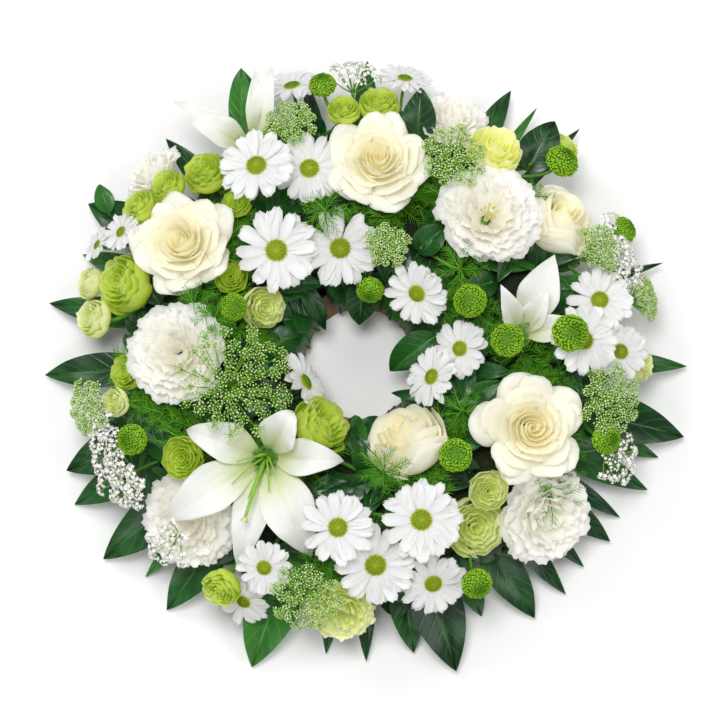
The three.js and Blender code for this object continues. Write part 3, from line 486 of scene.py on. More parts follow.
HALF_ROSE_WHORLS = (
    Whorl(4, 1.0, -0.04, (1.24, -1.0), 1.0, roll=0.15, point=0.24, foot=(0.18, -1.3), grid=(12, 15), ruffle=0.02),
    Whorl(4, 0.88, 0.07, (1.08, -0.9), 1.0, roll=0.12, point=0.2, foot=(0.14, -1.25), grid=(12, 15), ruffle=0.02),
    Whorl(4, 0.74, 0.15, (0.92, -0.85), 1.05, roll=0.08, point=0.14, foot=(0.1, -1.2), grid=(11, 14), spiral=0.1),
    Whorl(3, 0.58, 0.21, (0.72, -0.8), 1.35, roll=0.06, foot=(0.1, -1.1), grid=(10, 14), spiral=0.14),
    Whorl(3, 0.42, 0.24, (0.52, -0.75), 1.4, roll=0.04, foot=(0.08, -1.0), grid=(9, 13), spiral=0.18),
    Whorl(3, 0.28, 0.24, (0.36, -0.7), 1.5, roll=0.02, foot=(0.06, -1.0), grid=(9, 13), spiral=0.24),
    Whorl(2, 0.14, 0.2, (0.2, -0.6), 2.2, roll=0.01, foot=(0.05, -0.9), grid=(8, 13), spiral=0.3),
)
LISIANTHUS_WHORLS = (
    Whorl(6, 1.0, -0.16, (0.66, -0.4), 0.72, ruffle=0.04, frill=0.016, roll=0.07, point=0.0, foot=(0.08, -0.68),
          grid=(9, 29)),
    Whorl(5, 0.88, -0.03, (0.6, -0.38), 0.84, ruffle=0.045, frill=0.016, roll=0.06, point=0.0, grid=(9, 31)),
    Whorl(5, 0.74, 0.06, (0.52, -0.36), 0.84, ruffle=0.045, frill=0.016, roll=0.055, point=0.0, grid=(9, 27)),
    Whorl(4, 0.58, 0.13, (0.44, -0.38), 1.0, ruffle=0.05, frill=0.016, roll=0.05, point=0.0, grid=(8, 27)),
    Whorl(4, 0.42, 0.17, (0.36, -0.4), 1.02, ruffle=0.05, frill=0.015, roll=0.03, point=0.0, grid=(8, 23)),
    Whorl(3, 0.24, 0.15, (0.24, -0.4), 1.3, ruffle=0.045, frill=0.012, point=0.0, grid=(7, 21)),
)
GOBLET_WHORLS = (
    Whorl(4, 0.98, -0.1, (1.2, -1.0), 0.96, ruffle=0.05, frill=0.02, point=0.02, foot=(0.2, -1.12), grid=(7, 12)),
    Whorl(4, 0.84, 0.04, (0.9, -0.8), 0.94, ruffle=0.055, frill=0.02, point=0.0, foot=(0.16, -1.0), grid=(7, 12)),
    Whorl(4, 0.67, 0.14, (0.66, -0.6), 1.0, ruffle=0.06, frill=0.02, point=0.0, foot=(0.12, -0.8), grid=(6, 11)),
    Whorl(4, 0.5, 0.18, (0.48, -0.5), 1.0, ruffle=0.055, point=0.0, foot=(0.1, -0.7), grid=(6, 10)),
    Whorl(3, 0.34, 0.18, (0.32, -0.45), 1.3, ruffle=0.05, point=0.0, foot=(0.06, -0.6), grid=(5, 9)),
    Whorl(3, 0.18, 0.15, (0.18, -0.4), 1.3, ruffle=0.04, point=0.0, foot=(0.04, -0.55), grid=(5, 9)),
)


@dataclass(frozen=True)
class DoubleBloom:
    """A flower of many whorls on a swelling with five sepals. Lengths are shares of the head's radius."""

    whorls: tuple[Whorl, ...]
    neck: float  # how far under the head's middle its stem meets it
    sepal_reach: float  # how far out the sepals' tips are
    stamens: int = 0  # how many show in an open heart
    whorl_turn: float = 1.9  # the angle from one whorl's first petal to the next one's
    whorl_stray: float = 0.2
    sepals: int = 5
    first_sepal: float = 0.4
    sepal_wide: float = 0.15
    sepal_thick_mm: float = 0.5

    def build(self, bench: Bench, finish: str, spin: float) -> None:
        """Adds the flower.

        Args:
            bench: what it is made with.
            finish: the petals' finish.
            spin: the angle of its first petal.
        """
        for k, whorl in enumerate(self.whorls):
            depth = k / max(1, len(self.whorls) - 1)
            first = spin + self.whorl_turn * k + self.whorl_stray * bench.rng.normal()
            whorl.petals(bench, finish, depth, first)
        if self.stamens:
            self.build_stamens(bench)
        self.build_calyx(bench)

    def build_stamens(self, bench: Bench) -> None:
        """Adds the yellow stamens of an open heart and the stigma among them.

        Args:
            bench: what it is made with.
        """
        draft, place, radius, rng = bench
        for k in range(self.stamens):
            angle = k * 2 * np.pi / self.stamens
            tip = spoke(0.13, angle, 0.06 + 0.03 * rng.normal()) * radius
            foot = spoke(0.04, angle, -0.4) * radius
            tube(draft, place.put(np.stack([foot, (foot + tip) / 2, tip])), 0.35, "stamen", 4)
            KNOB.scatter(draft, place.put(tip[None]), place.turn[:, 2][None], [1.5], "stamen")
        stalk = np.array([[0, 0, -0.5], [0, 0, -0.1], [0, 0, 0.12]]) * radius
        tube(draft, place.put(stalk), np.array([2.2, 1.4, 1.6]), "stigma", 8)

    def build_calyx(self, bench: Bench) -> None:
        """Adds the sepals under the head and the swelling that they grow from.

        Args:
            bench: what it is made with.
        """
        draft, place, radius, _ = bench
        u, v = np.linspace(0, 1, 7)[:, None], np.linspace(-1, 1, 5)[None, :]
        foot = np.array([0.07, -self.neck])
        belly = np.array([0.4, -self.neck * 0.98])
        tip = np.array([self.sepal_reach, -self.neck * 0.72])
        for k in range(self.sepals):
            angle = k * 2 * np.pi / self.sepals + self.first_sepal
            wide = self.sepal_wide * radius * np.sin(np.pi * (0.2 + 0.78 * u)) * (1 - 0.15 * u)
            line = bezier(foot, belly, tip, u + 0 * v)
            r, z = line[..., 0] * radius, line[..., 1] * radius + 0.2 * np.abs(v) * wide
            grid = place.put(turned_out(r, v * wide, z, angle))
            shell(draft, grid, self.sepal_thick_mm, "sepal")
        heights = np.array([-self.neck - 0.12, -self.neck - 0.05, -self.neck + 0.08])
        path = np.array([[0, 0, height * radius] for height in heights])
        tube(draft, place.put(path), np.array([0.05, 0.13, 0.06]) * radius, "sepal", 8)


@dataclass(frozen=True)
class Daisy:
    """A daisy: two rows of grooved strap petals round a domed disc of florets. Lengths are shares of its radius."""

    neck: float = 0.16
    straps: int = 25
    small_straps: int = 21
    small_mm: float = 22.0  # a head of no more than this radius has the smaller number of straps
    strap_foot: float = 0.2
    strap_wide: float = 0.15
    strap_thick_mm: float = 0.5
    disc: float = 0.27
    florets: int = 90
    floret: float = 0.027

    def build(self, bench: Bench) -> None:
        """Adds the daisy.

        Args:
            bench: what it is made with.
        """
        straps = self.straps if bench.radius > self.small_mm else self.small_straps
        for layer in range(2):
            count = straps // 2 + layer
            for k in range(count):
                self.build_strap(bench, (k + 0.5 * layer) * 2 * np.pi / count, layer)
        self.build_disc(bench)

    def build_strap(self, bench: Bench, angle: float, layer: int) -> None:
        """Adds one strap petal.

        Args:
            bench: what it is made with.
            angle: which way it points.
            layer: 0 for the lower row, 1 for the upper one.
        """
        draft, place, radius, rng = bench
        u, v = np.linspace(0, 1, 8)[:, None], np.linspace(-1, 1, 5)[None, :]
        angle = angle + rng.normal(0, 0.05)
        reach = (1.0 - 0.05 * layer) * rng.uniform(0.93, 1.05)
        wide = self.strap_wide * rng.uniform(0.88, 1.12)
        rounded = np.sqrt(np.clip(1 - (np.clip(u - 0.78, 0, 1) / 0.235) ** 2, 0.02, 1))
        width = wide * np.minimum(1, 0.42 + 1.4 * u) * rounded
        notch = 0.025 * (1 - v**2) * smooth(0.9, 1.0, u) - 0.02 * smooth(0.9, 1.0, u) * np.cos(5 * v)
        r = self.strap_foot + (reach - self.strap_foot) * u - notch
        bend = rng.normal(0, 0.06)
        z = (0.03 + 0.05 * layer) + 0.14 * u * (1 - u) + (0.03 + bend) * u**2 + 0.012 * np.cos(4.4 * v) * (1 - u)
        z = z + 0.06 * v**2 * width / wide + rng.normal(0, 0.03) * v * u
        grid = turned_out(r, v * width, z, angle + rng.normal(0, 0.04) * u) * radius
        shell(draft, place.put(grid), self.strap_thick_mm, "daisy", tone=rng.uniform(0, 1))

    def build_disc(self, bench: Bench) -> None:
        """Adds the domed disc of florets, with a dimple in its middle.

        Args:
            bench: what it is made with.
        """
        draft, place, radius, rng = bench
        share = np.sqrt((np.arange(self.florets) + 0.5) / self.florets)
        turn = np.arange(self.florets) * GOLDEN
        disc = self.disc * radius
        dome = radius * (0.17 - 0.09 * share**2)
        where = turned_out(disc * share, 0, dome, turn)
        where[:, 2] -= 0.035 * radius * np.exp(-((share / 0.3) ** 2))
        ways = turned_out(0.5 * share, 0, np.ones(self.florets), turn)
        sizes = radius * self.floret * (0.75 + 0.5 * share)
        tones = rng.uniform(0, 1, self.florets)
        KNOB.scatter(draft, place.put(where), ways @ place.turn.T, sizes, "disc", tones, 1.3, smooth(0.6, 1.0, share))
        base = ringed(18, [(0.24, -0.05), (0.29, 0.03), (0.28, 0.08), (0.16, 0.15)], 0.15, -0.14)
        base.scatter(draft, place.middle[None], place.turn[:, 2][None], [radius], "disc", 0.4, 1.0, np.array([0.7]))


@dataclass(frozen=True)
class Button:
    """A green button head: a ball of short curled florets with a dimple on top. Lengths are shares of its radius."""

    neck: float = 0.6
    florets: int = 230
    florets_per_mm: float = 5.0
    lowest: float = -0.82  # how far down the ball the florets go
    ball: tuple[float, float, float] = (0.78, 0.78, 0.6)
    floret: float = 0.08
    floret_tall: float = 1.9

    def build(self, bench: Bench) -> None:
        """Adds the button.

        Args:
            bench: what it is made with.
        """
        draft, place, radius, rng = bench
        florets = int(self.florets + self.florets_per_mm * radius)
        k = np.arange(florets) + 0.5
        height = 1 - (1 - self.lowest) * k / florets
        flat = np.sqrt(np.clip(1 - height**2, 0, 1))
        turn = np.arange(florets) * GOLDEN
        ways = turned_out(flat, 0, height, turn)
        inner = np.exp(-((flat / 0.25) ** 2)) * (height > 0)
        where = ways * np.array(self.ball) * (1 - 0.16 * inner[:, None]) * rng.uniform(0.93, 1.05, (florets, 1))
        lean = ways + np.array([0, 0, 0.35]) + rng.normal(0, 0.16, (florets, 3))
        sizes = radius * (self.floret - 0.04 * inner) * rng.uniform(0.85, 1.15, florets)
        tones = rng.uniform(0, 1, florets)
        share = np.clip(flat + (height < 0), 0, 1)
        CUP_FLORET.scatter(
            draft, place.put(where * radius), lean @ place.turn.T, sizes, "button", tones, self.floret_tall, share
        )
        core = ringed(10, [(0.5, -0.5), (0.76, -0.2), (0.78, 0.15), (0.5, 0.46)], 0.5, -0.66)
        core.scatter(draft, place.middle[None], place.turn[:, 2][None], [radius], "button", 0.2, 1.0, np.array([0.3]))


@dataclass(frozen=True)
class RayedHead:
    """Rays from one point to a bowed top, each with a cluster of florets on short stalks of their own."""

    finish: str
    stamp: Stamp
    rays: int
    rays_per_mm: float  # how many more rays there are for each millimetre that it is across
    spread: float  # how far the middle of its top is over its rim, as a share of the radius
    florets: int
    cluster: tuple[float, float]  # a cluster's radius: a share of the head's, and the millimetres added to it
    floret_mm: tuple[float, float]  # from the smallest floret to the largest
    floret_tall: float = 1.0
    neck: float = 0.75
    straw_mm: float = 0.22  # the radius of a floret's stalk

    def build(self, bench: Bench) -> None:
        """Adds the head.

        Args:
            bench: what it is made with.
        """
        draft, place, radius, rng = bench
        hub = np.array([0, 0, -self.neck * radius])
        rays = self.rays + int(2 * radius * self.rays_per_mm)
        for k in range(rays):
            share = math.sqrt((k + 0.5) / rays)
            angle = k * GOLDEN + rng.normal(0, 0.08)
            rise = self.spread * (0.5 - 0.5 * share**2)
            tip = spoke(share, angle, rise) * radius
            tip[2] += rng.normal(0, 0.05) * radius
            bow = (hub + tip) / 2 + np.array([0, 0, -0.16 * radius * share])
            path = bezier(hub, bow, tip, np.linspace(0, 1, 5))
            tube(draft, place.put(path), np.linspace(0.55, 0.35, 5), "stalk", 4, rng.uniform())
            self.build_cluster(bench, tip, unit(tip - bow))
        foot = np.array([[0, 0, -4.0], [0, 0, 0], [0, 0, 1.5]]) + hub
        tube(draft, place.put(foot), np.array([1.2, 1.9, 1.2]), "stalk", 6)

    def build_cluster(self, bench: Bench, tip: Array, way: Array) -> None:
        """Adds the cluster at the end of a ray.

        Args:
            bench: what it is made with.
            tip: where the ray ends.
            way: the way it points there.
        """
        draft, place, radius, rng = bench
        count = self.florets
        n = np.arange(count) + 0.5
        up = 1 - 0.85 * n / count
        flat = np.sqrt(1 - up**2)
        turn = n * GOLDEN + rng.uniform(0, 6)
        ball = turned_out(flat, 0, up * 0.7, turn) @ turn_to(way).T
        ends = tip + ball * (self.cluster[0] * radius + self.cluster[1]) * rng.uniform(0.8, 1.15, (count, 1))
        starts = np.repeat((tip - way * 0.5)[None], count, 0)
        tall = np.linalg.norm(ends - starts, axis=1) / self.straw_mm
        straws = np.full(count, self.straw_mm)
        tones = rng.uniform(0, 1, count)
        STRAW.scatter(draft, place.put(starts), (ends - starts) @ place.turn.T, straws, "stalk", tones, tall)
        ways = (unit(ends - tip) + np.array([0, 0, 0.6])) @ place.turn.T
        sizes = rng.uniform(*self.floret_mm, count)
        tones = rng.uniform(0, 1, count)
        self.stamp.scatter(draft, place.put(ends), ways, sizes, self.finish, tones, self.floret_tall)


@dataclass(frozen=True)
class Frond:
    """A feathery frond: fine branches round a short axis, each set with hair-like leaflets."""

    branches: int = 16
    leaflets: int = 14  # on each branch
    leaflet_mm: float = 0.34  # a leaflet's radius
    neck: float = 0.66

    def build(self, bench: Bench) -> None:
        """Adds the frond.

        Args:
            bench: what it is made with.
        """
        draft, place, radius, rng = bench
        axis = np.array([[0, 0, -0.75], [0.03, 0, -0.3], [0, 0.04, 0.12]]) * radius
        tube(draft, place.put(axis), np.array([0.8, 0.6, 0.3]), "frond", 5)
        for k in range(self.branches):
            angle = k * GOLDEN + rng.normal(0, 0.2)
            start = np.array([0, 0, -0.62 + 0.68 * k / self.branches]) * radius
            reach = radius * rng.uniform(0.75, 1.08)
            rise = radius * rng.uniform(-0.12, 0.32)
            tip = spoke(reach, angle, rise)
            bow = (start + tip) / 2 + np.array([0, 0, rng.uniform(0.05, 0.3) * radius])
            path = bezier(start, bow, tip, np.linspace(0, 1, 6))
            tube(draft, place.put(path), np.linspace(0.55, 0.25, 6), "frond", 3, rng.uniform())
            self.build_leaflets(bench, (start, bow, tip))

    def build_leaflets(self, bench: Bench, branch: Sequence[Array]) -> None:
        """Adds the leaflets of one branch, to its left and right in turn.

        Args:
            bench: what it is made with.
            branch: the start, the pull and the tip of the branch's curve.
        """
        draft, place, radius, rng = bench
        start, bow, tip = branch
        count = self.leaflets
        t = np.linspace(0.2, 0.97, count)
        roots = bezier(start, bow, tip, t)
        ahead = unit(tip - start)
        side = unit(np.cross(ahead, UP)) * np.where(np.arange(count) % 2, 1, -1)[:, None]
        ways = ahead + side * rng.uniform(0.5, 1.1, (count, 1)) + UP * rng.normal(0.15, 0.35, (count, 1))
        length = radius * rng.uniform(0.34, 0.6, count) * (1.1 - 0.6 * t)
        sizes, tones = np.full(count, self.leaflet_mm), rng.uniform(0, 1, count)
        STRAW.scatter(draft, place.put(roots), ways @ place.turn.T, sizes, "frond", tones, length / self.leaflet_mm)


@dataclass(frozen=True)
class Blade:
    """A leaf or a lily's petal from base to tip. wide is its full width and rise how far it bows up."""

    base: Point
    tip: Point
    wide: float
    rise: float = 4.0
    fold: float = 0.3

    def middle(self, t: Array) -> Array:
        """Returns points of its midrib."""
        a, c = np.array(self.base, float), np.array(self.tip, float)
        return bezier(a, (a + c) / 2 + np.array([0, 0, 2 * self.rise]), c, t)

    def length(self) -> float:
        """Returns how far its tip is from its base."""
        return float(np.linalg.norm(np.array(self.tip, float) - np.array(self.base, float)))

    def grid(self, share: Array, lift: Array, rows: Array, columns: Array) -> Array:
        """Returns its surface.

        Args:
            share: the half width at each row, as a share of the full one.
            lift: how far each point is raised, rows by columns.
            rows: where its rows lie along it.
            columns: where its columns lie across it.

        Returns:
            The grid of points.
        """
        spine = self.middle(rows)
        ahead = unit(np.gradient(spine, axis=0))
        side = unit(np.cross(UP, ahead))
        normal = np.cross(ahead, side)
        half = self.wide / 2
        out = side[:, None] * (share[:, None] * columns[None])[..., None] * half
        return spine[:, None] + out + normal[:, None] * lift[..., None]

    def build_leaf(self, draft: Draft, rng: Rng, finish: str = "leaf", petiole: bool = True,
                   grid: tuple[int, int] = PLAIN_LEAF) -> None:
        """Adds it as a glossy pointed leaf with a sunken midrib and a waved edge.

        Args:
            draft: where it goes.
            rng: the draw of its waves, its tip's droop and its tone.
            finish: the finish of its upper face.
            petiole: whether it has a stalk of its own.
            grid: how many rows and columns it has.
        """
        rows, columns = np.linspace(0.0, 1.0, grid[0]), np.linspace(-1, 1, grid[1])
        share = np.sin(np.pi * np.clip(0.03 + 0.97 * rows, 0, 1) ** 0.82) ** 0.8 * (1 - 0.25 * rows)
        share = share / share.max()
        share[-1] = TIP_SHARE
        half = self.wide / 2
        wave, phase = rng.uniform(0.1, 0.22), rng.uniform(0, 6.3)
        u, v = rows[:, None], columns[None]
        lift = half * share[:, None] * (self.fold * np.abs(v) ** 1.3 + wave * v * np.sin(7 * u + phase))
        lift = lift - half * 0.09 * np.exp(-((v / 0.2) ** 2))
        lift = lift + half * rng.normal(0, 0.25) * v * np.abs(v) * u * share[:, None]
        lift = lift - rng.uniform(0.0, 0.07) * self.length() * smooth(0.7, 1, u)
        shell(draft, self.grid(share, lift, rows, columns), LEAF_THICK, finish, "leaf_under", tone=rng.uniform())
        if petiole:
            rib = self.middle(np.array([-0.08, 0.0, 0.2, 0.5])) - np.array([0, 0, 0.5])
            tube(draft, rib, np.array([0.9, 0.8, 0.6, 0.3]), "leaf_under", 5)

    def build_petal(self, draft: Draft, rng: Rng, cut: PetalCut) -> None:
        """Adds it as a lily's petal: a deep midrib, a ruffled edge and a tip that curls back.

        Args:
            draft: where it goes.
            rng: the draw of its ruffles and its tone.
            cut: the outline that it has.
        """
        rows, columns = np.linspace(0.0, 1.0, 25), np.linspace(-1, 1, 15)
        swell = np.sin(np.pi / 2 * np.minimum(1, rows / cut.widest)) ** cut.opening
        share = cut.foot + (1 - cut.foot) * swell
        share *= np.clip(1 - (np.clip(rows - cut.widest, 0, 1) / (1 - cut.widest)) ** cut.taper, 0, 1)
        share[-1] = TIP_SHARE
        half = self.wide / 2
        u, v = rows[:, None], columns[None]
        phase = rng.uniform(0, 6.3, 2)
        cup = self.fold * (0.5 + 0.5 * (1 - u)) * np.abs(v) ** 1.6
        ruffle = np.sin(17 * u + phase[0] + v) + 0.6 * np.sin(31 * u + phase[1] - 2 * v)
        ruffle = 0.09 * np.abs(v) ** 3 * ruffle * smooth(0.1, 0.5, u)
        rib = 0.07 * np.exp(-((v / 0.1) ** 2)) - 0.12 * np.exp(-((v / 0.22) ** 2))
        ridges = 0.012 * np.cos(22 * v)
        lift = half * share[:, None] * (cup + ruffle + ridges)
        lift = lift + half * rib * np.minimum(1, 1.6 * (1 - u)) * smooth(0, 0.1, u)
        lift = lift - cut.curl * self.length() * smooth(0.72, 1.05, u) ** 1.5
        shell(draft, self.grid(share, lift, rows, columns), 1.0, "lily", tone=rng.uniform())


@dataclass(frozen=True)
class PetalCut:
    """The outline of a lily's petal, and how far its tip curls back as a share of its length."""

    foot: float  # how wide its foot is, as a share of its width
    widest: float  # where it is widest, as a share of its length
    opening: float  # how slowly it widens
    taper: float  # how slowly it narrows
    curl: float


BROAD_PETAL = PetalCut(foot=0.2, widest=0.48, opening=1.3, taper=1.3, curl=0.05)
NARROW_PETAL = PetalCut(foot=0.22, widest=0.42, opening=1.2, taper=1.2, curl=0.08)


def node(tree: Tree, kind: str, **sockets: object) -> bpy.types.Node:
    """Adds a shader node.

    Args:
        tree: where it goes.
        kind: its type.
        sockets: the values of its inputs by name, with spaces written as underscores.

    Returns:
        The node.
    """
    made = tree.nodes.new(kind)
    for name, value in sockets.items():
        made.inputs[name.replace("_", " ")].default_value = value
    return made


def sum_of(tree: Tree, operation: str, a: object, b: object) -> Socket:
    """Adds a Math node.

    Args:
        tree: where it goes.
        operation: what it works out.
        a: its first socket or number.
        b: its second one.

    Returns:
        Its output.
    """
    made = tree.nodes.new("ShaderNodeMath")
    made.operation = operation
    for k, value in enumerate((a, b)):
        if isinstance(value, Socket):
            tree.links.new(value, made.inputs[k])
        else:
            made.inputs[k].default_value = value
    return made.outputs[0]


def blended(tree: Tree, share: object, a: object, b: object) -> Socket:
    """Adds a colour Mix node.

    Args:
        tree: where it goes.
        share: how much of the second colour there is, a socket or a number.
        a: the first colour or its socket.
        b: the second colour or its socket.

    Returns:
        Its output.
    """
    made = tree.nodes.new("ShaderNodeMix")
    made.data_type = "RGBA"
    made.clamp_factor = True
    for index, value in ((0, share), (6, a), (7, b)):
        if isinstance(value, Socket):
            tree.links.new(value, made.inputs[index])
        elif index:
            made.inputs[index].default_value = (*value, 1.0)
        else:
            made.inputs[index].default_value = value
    return made.outputs[2]


def ranged(tree: Tree, value: Socket, low: float, high: float, a: float = 0.0, b: float = 1.0) -> Socket:
    """Adds a Map Range node that moves a value smoothly and without passing either end.

    Args:
        tree: where it goes.
        value: the value's socket.
        low: what becomes a.
        high: what becomes b.
        a: the least or greatest result.
        b: the other one.

    Returns:
        Its output.
    """
    made = tree.nodes.new("ShaderNodeMapRange")
    made.interpolation_type = "SMOOTHSTEP"
    tree.links.new(value, made.inputs[0])
    for k, number in enumerate((low, high, a, b)):
        made.inputs[k + 1].default_value = number
    return made.outputs[0]


def mark(tree: Tree, name: str) -> Socket:
    """Adds a node that reads one of the marks that a piece's points carry.

    Args:
        tree: where it goes.
        name: the mark's name.

    Returns:
        Its output.
    """
    made = tree.nodes.new("ShaderNodeAttribute")
    made.attribute_name = name
    return made.outputs["Fac"]


class Effects:
    """The surface effects that several finishes share, each a node group that is made once."""

    made: dict[str, Tree] = {}

    @classmethod
    def group(cls, name: str, given: str, value: float, out: str, build: Callable[[Tree, Socket], Socket]) -> Tree:
        """Returns the group of that name, building it on its first use.

        Args:
            name: its name.
            given: its input's name.
            value: the input's value.
            out: its output's name. Both are plain values.
            build: what adds the nodes between them.

        Returns:
            The group.
        """
        if name not in cls.made:
            tree = bpy.data.node_groups.new(name, "ShaderNodeTree")
            socket = tree.interface.new_socket(name=given, in_out="INPUT", socket_type="NodeSocketFloat")
            socket.default_value = value
            tree.interface.new_socket(name=out, in_out="OUTPUT", socket_type="NodeSocketFloat")
            start, end = tree.nodes.new("NodeGroupInput"), tree.nodes.new("NodeGroupOutput")
            tree.links.new(build(tree, start.outputs[given]), end.inputs[out])
            cls.made[name] = tree
        return cls.made[name]

    @staticmethod
    def vein_nodes(tree: Tree, density: Socket) -> Socket:
        """Adds the nodes of the petal veins.

        Args:
            tree: the group's nodes.
            density: how close the veins are.

        Returns:
            The veins, from 0 to 1.
        """
        place = tree.nodes.new("ShaderNodeCombineXYZ")
        for k, (name, scale) in enumerate((("across", density), ("along", 1.6), ("tone", 37.0))):
            tree.links.new(sum_of(tree, "MULTIPLY", mark(tree, name), scale), place.inputs[k])
        noise = node(tree, "ShaderNodeTexNoise", Scale=1.0, Detail=3.0, Roughness=0.6)
        tree.links.new(place.outputs[0], noise.inputs["Vector"])
        return ranged(tree, noise.outputs[0], 0.3, 0.7)

    @staticmethod
    def patch_nodes(tree: Tree, scale: Socket) -> Socket:
        """Adds the nodes of the mottle.

        Args:
            tree: the group's nodes.
            scale: how small the patches are.

        Returns:
            The patches, from 0 to 1.
        """
        place = tree.nodes.new("ShaderNodeTexCoord")
        noise = node(tree, "ShaderNodeTexNoise", Detail=4.0, Roughness=0.55)
        tree.links.new(place.outputs["Object"], noise.inputs["Vector"])
        tree.links.new(scale, noise.inputs["Scale"])
        return ranged(tree, noise.outputs[0], 0.32, 0.68)

    @classmethod
    def petal_veins(cls) -> Tree:
        """Returns the group for fine veins that run from a petal's base to its edge."""
        return cls.group("petal veins", "Density", 14.0, "Veins", cls.vein_nodes)

    @classmethod
    def mottle(cls) -> Tree:
        """Returns the group for soft patches of lighter and darker colour, in places of the object."""
        return cls.group("mottle", "Scale", 60.0, "Patches", cls.patch_nodes)

    @staticmethod
    def use(tree: Tree, group: Tree, **values: float) -> Socket:
        """Places a group in a material.

        Args:
            tree: the material's nodes.
            group: which group.
            values: the values of its inputs.

        Returns:
            Its first output.
        """
        made = tree.nodes.new("ShaderNodeGroup")
        made.node_tree = group
        for key, value in values.items():
            made.inputs[key].default_value = value
        return made.outputs[0]


@dataclass(frozen=True)
class Finish:
    """What every finish has: a material that is made once, with a bumpy Principled surface."""

    name: str
    roughness: float = 0.55
    coat: float = 0.0
    scatter: float = 0.0
    scatter_colour: Colour = (1.0, 0.96, 0.75)
    scatter_mm: float = 5.0
    gloss: float = 0.3
    bump: float = 0.15
    depth_mm: float = 0.3
    glow: float = 0.0  # painted light: an emission that lifts the petals' shade, standing for the light that thin petals pass on to one another
    glow_colour: Colour = (1.0, 0.97, 0.88)
    coat_roughness: float = 0.25

    def material(self) -> bpy.types.Material:
        """Returns the material, made on its first use."""
        found = bpy.data.materials.get(self.name)
        if found:
            return found
        made = bpy.data.materials.new(self.name)
        made.use_nodes = True
        tree = made.node_tree
        surface = tree.nodes["Principled BSDF"]
        colour, height = self.look(tree)
        tree.links.new(colour, surface.inputs["Base Color"])
        for socket, value in (
            ("Roughness", self.roughness), ("Specular IOR Level", self.gloss),
            ("Coat Weight", self.coat), ("Coat Roughness", self.coat_roughness),
            # the glow is painted light: an emission that brightens the petals' shade and creases
            ("Emission Color", (*self.glow_colour, 1.0)), ("Emission Strength", self.glow),
            ("Subsurface Weight", self.scatter), ("Subsurface Radius", self.scatter_colour),
            ("Subsurface Scale", self.scatter_mm * MM),
        ):
            surface.inputs[socket].default_value = value
        bump = node(tree, "ShaderNodeBump", Strength=self.bump, Distance=self.depth_mm * MM)
        tree.links.new(height, bump.inputs["Height"])
        tree.links.new(bump.outputs[0], surface.inputs["Normal"])
        return made

    def look(self, tree: Tree) -> tuple[Socket, Socket]:
        """Returns the sockets of its colour and of the height of its relief."""
        raise NotImplementedError


@dataclass(frozen=True)
class PetalFinish(Finish):
    """A soft petal: its colour runs from the base to the edge, its heart is deeper, and fine veins cross it."""

    base: Colour = (0.7, 0.75, 0.3)
    blade: Colour = (0.9, 0.9, 0.86)
    edge: Colour = (0.93, 0.93, 0.9)
    heart: Colour = (0.9, 0.85, 0.6)
    reach: float = 0.4  # how far up the petal the colour of its base runs
    hearted: float = 0.5  # how strongly the inner whorls take the heart's colour
    density: float = 14.0
    rim: Colour = (0.9, 0.9, 0.85)

    def look(self, tree: Tree) -> tuple[Socket, Socket]:
        """Returns the sockets of its colour and of the height of its relief."""
        along, tone = mark(tree, "along"), mark(tree, "tone")
        veins = Effects.use(tree, Effects.petal_veins(), Density=self.density)
        patches = Effects.use(tree, Effects.mottle(), Scale=90.0)
        body = blended(tree, ranged(tree, along, 0.0, self.reach), self.base, self.blade)
        body = blended(tree, ranged(tree, along, 0.6, 1.0), body, self.edge)
        warm = sum_of(tree, "MULTIPLY", ranged(tree, tone, 0.25, 0.95), self.hearted)
        body = blended(tree, warm, body, self.heart)
        shade = sum_of(tree, "MULTIPLY", sum_of(tree, "SUBTRACT", 1.0, veins), 0.1)
        body = blended(tree, shade, body, self.base)
        body = blended(tree, sum_of(tree, "MULTIPLY", patches, 0.08), body, self.rim)
        return body, veins


@dataclass(frozen=True)
class LilyFinish(Finish):
    """A lily's petal: white, with a yellow-green midrib that fades towards the tip."""

    blade: Colour = (0.83, 0.83, 0.79)
    midrib: Colour = (0.64, 0.68, 0.36)
    throat: Colour = (0.6, 0.68, 0.22)

    def look(self, tree: Tree) -> tuple[Socket, Socket]:
        """Returns the sockets of its colour and of the height of its relief."""
        along, across = mark(tree, "along"), mark(tree, "across")
        veins = Effects.use(tree, Effects.petal_veins(), Density=18.0)
        off = sum_of(tree, "ABSOLUTE", across, 0.0)
        near, fading = ranged(tree, off, 0.02, 0.13, 1.0, 0.0), ranged(tree, along, 0.1, 1.0, 0.6, 0.15)
        rib = sum_of(tree, "MULTIPLY", near, fading)
        foot = ranged(tree, along, 0.04, 0.52, 0.78, 0.0)
        body = blended(tree, rib, self.blade, self.midrib)
        body = blended(tree, foot, body, self.throat)
        shade = sum_of(tree, "MULTIPLY", sum_of(tree, "SUBTRACT", 1.0, veins), 0.08)
        return blended(tree, shade, body, self.midrib), veins


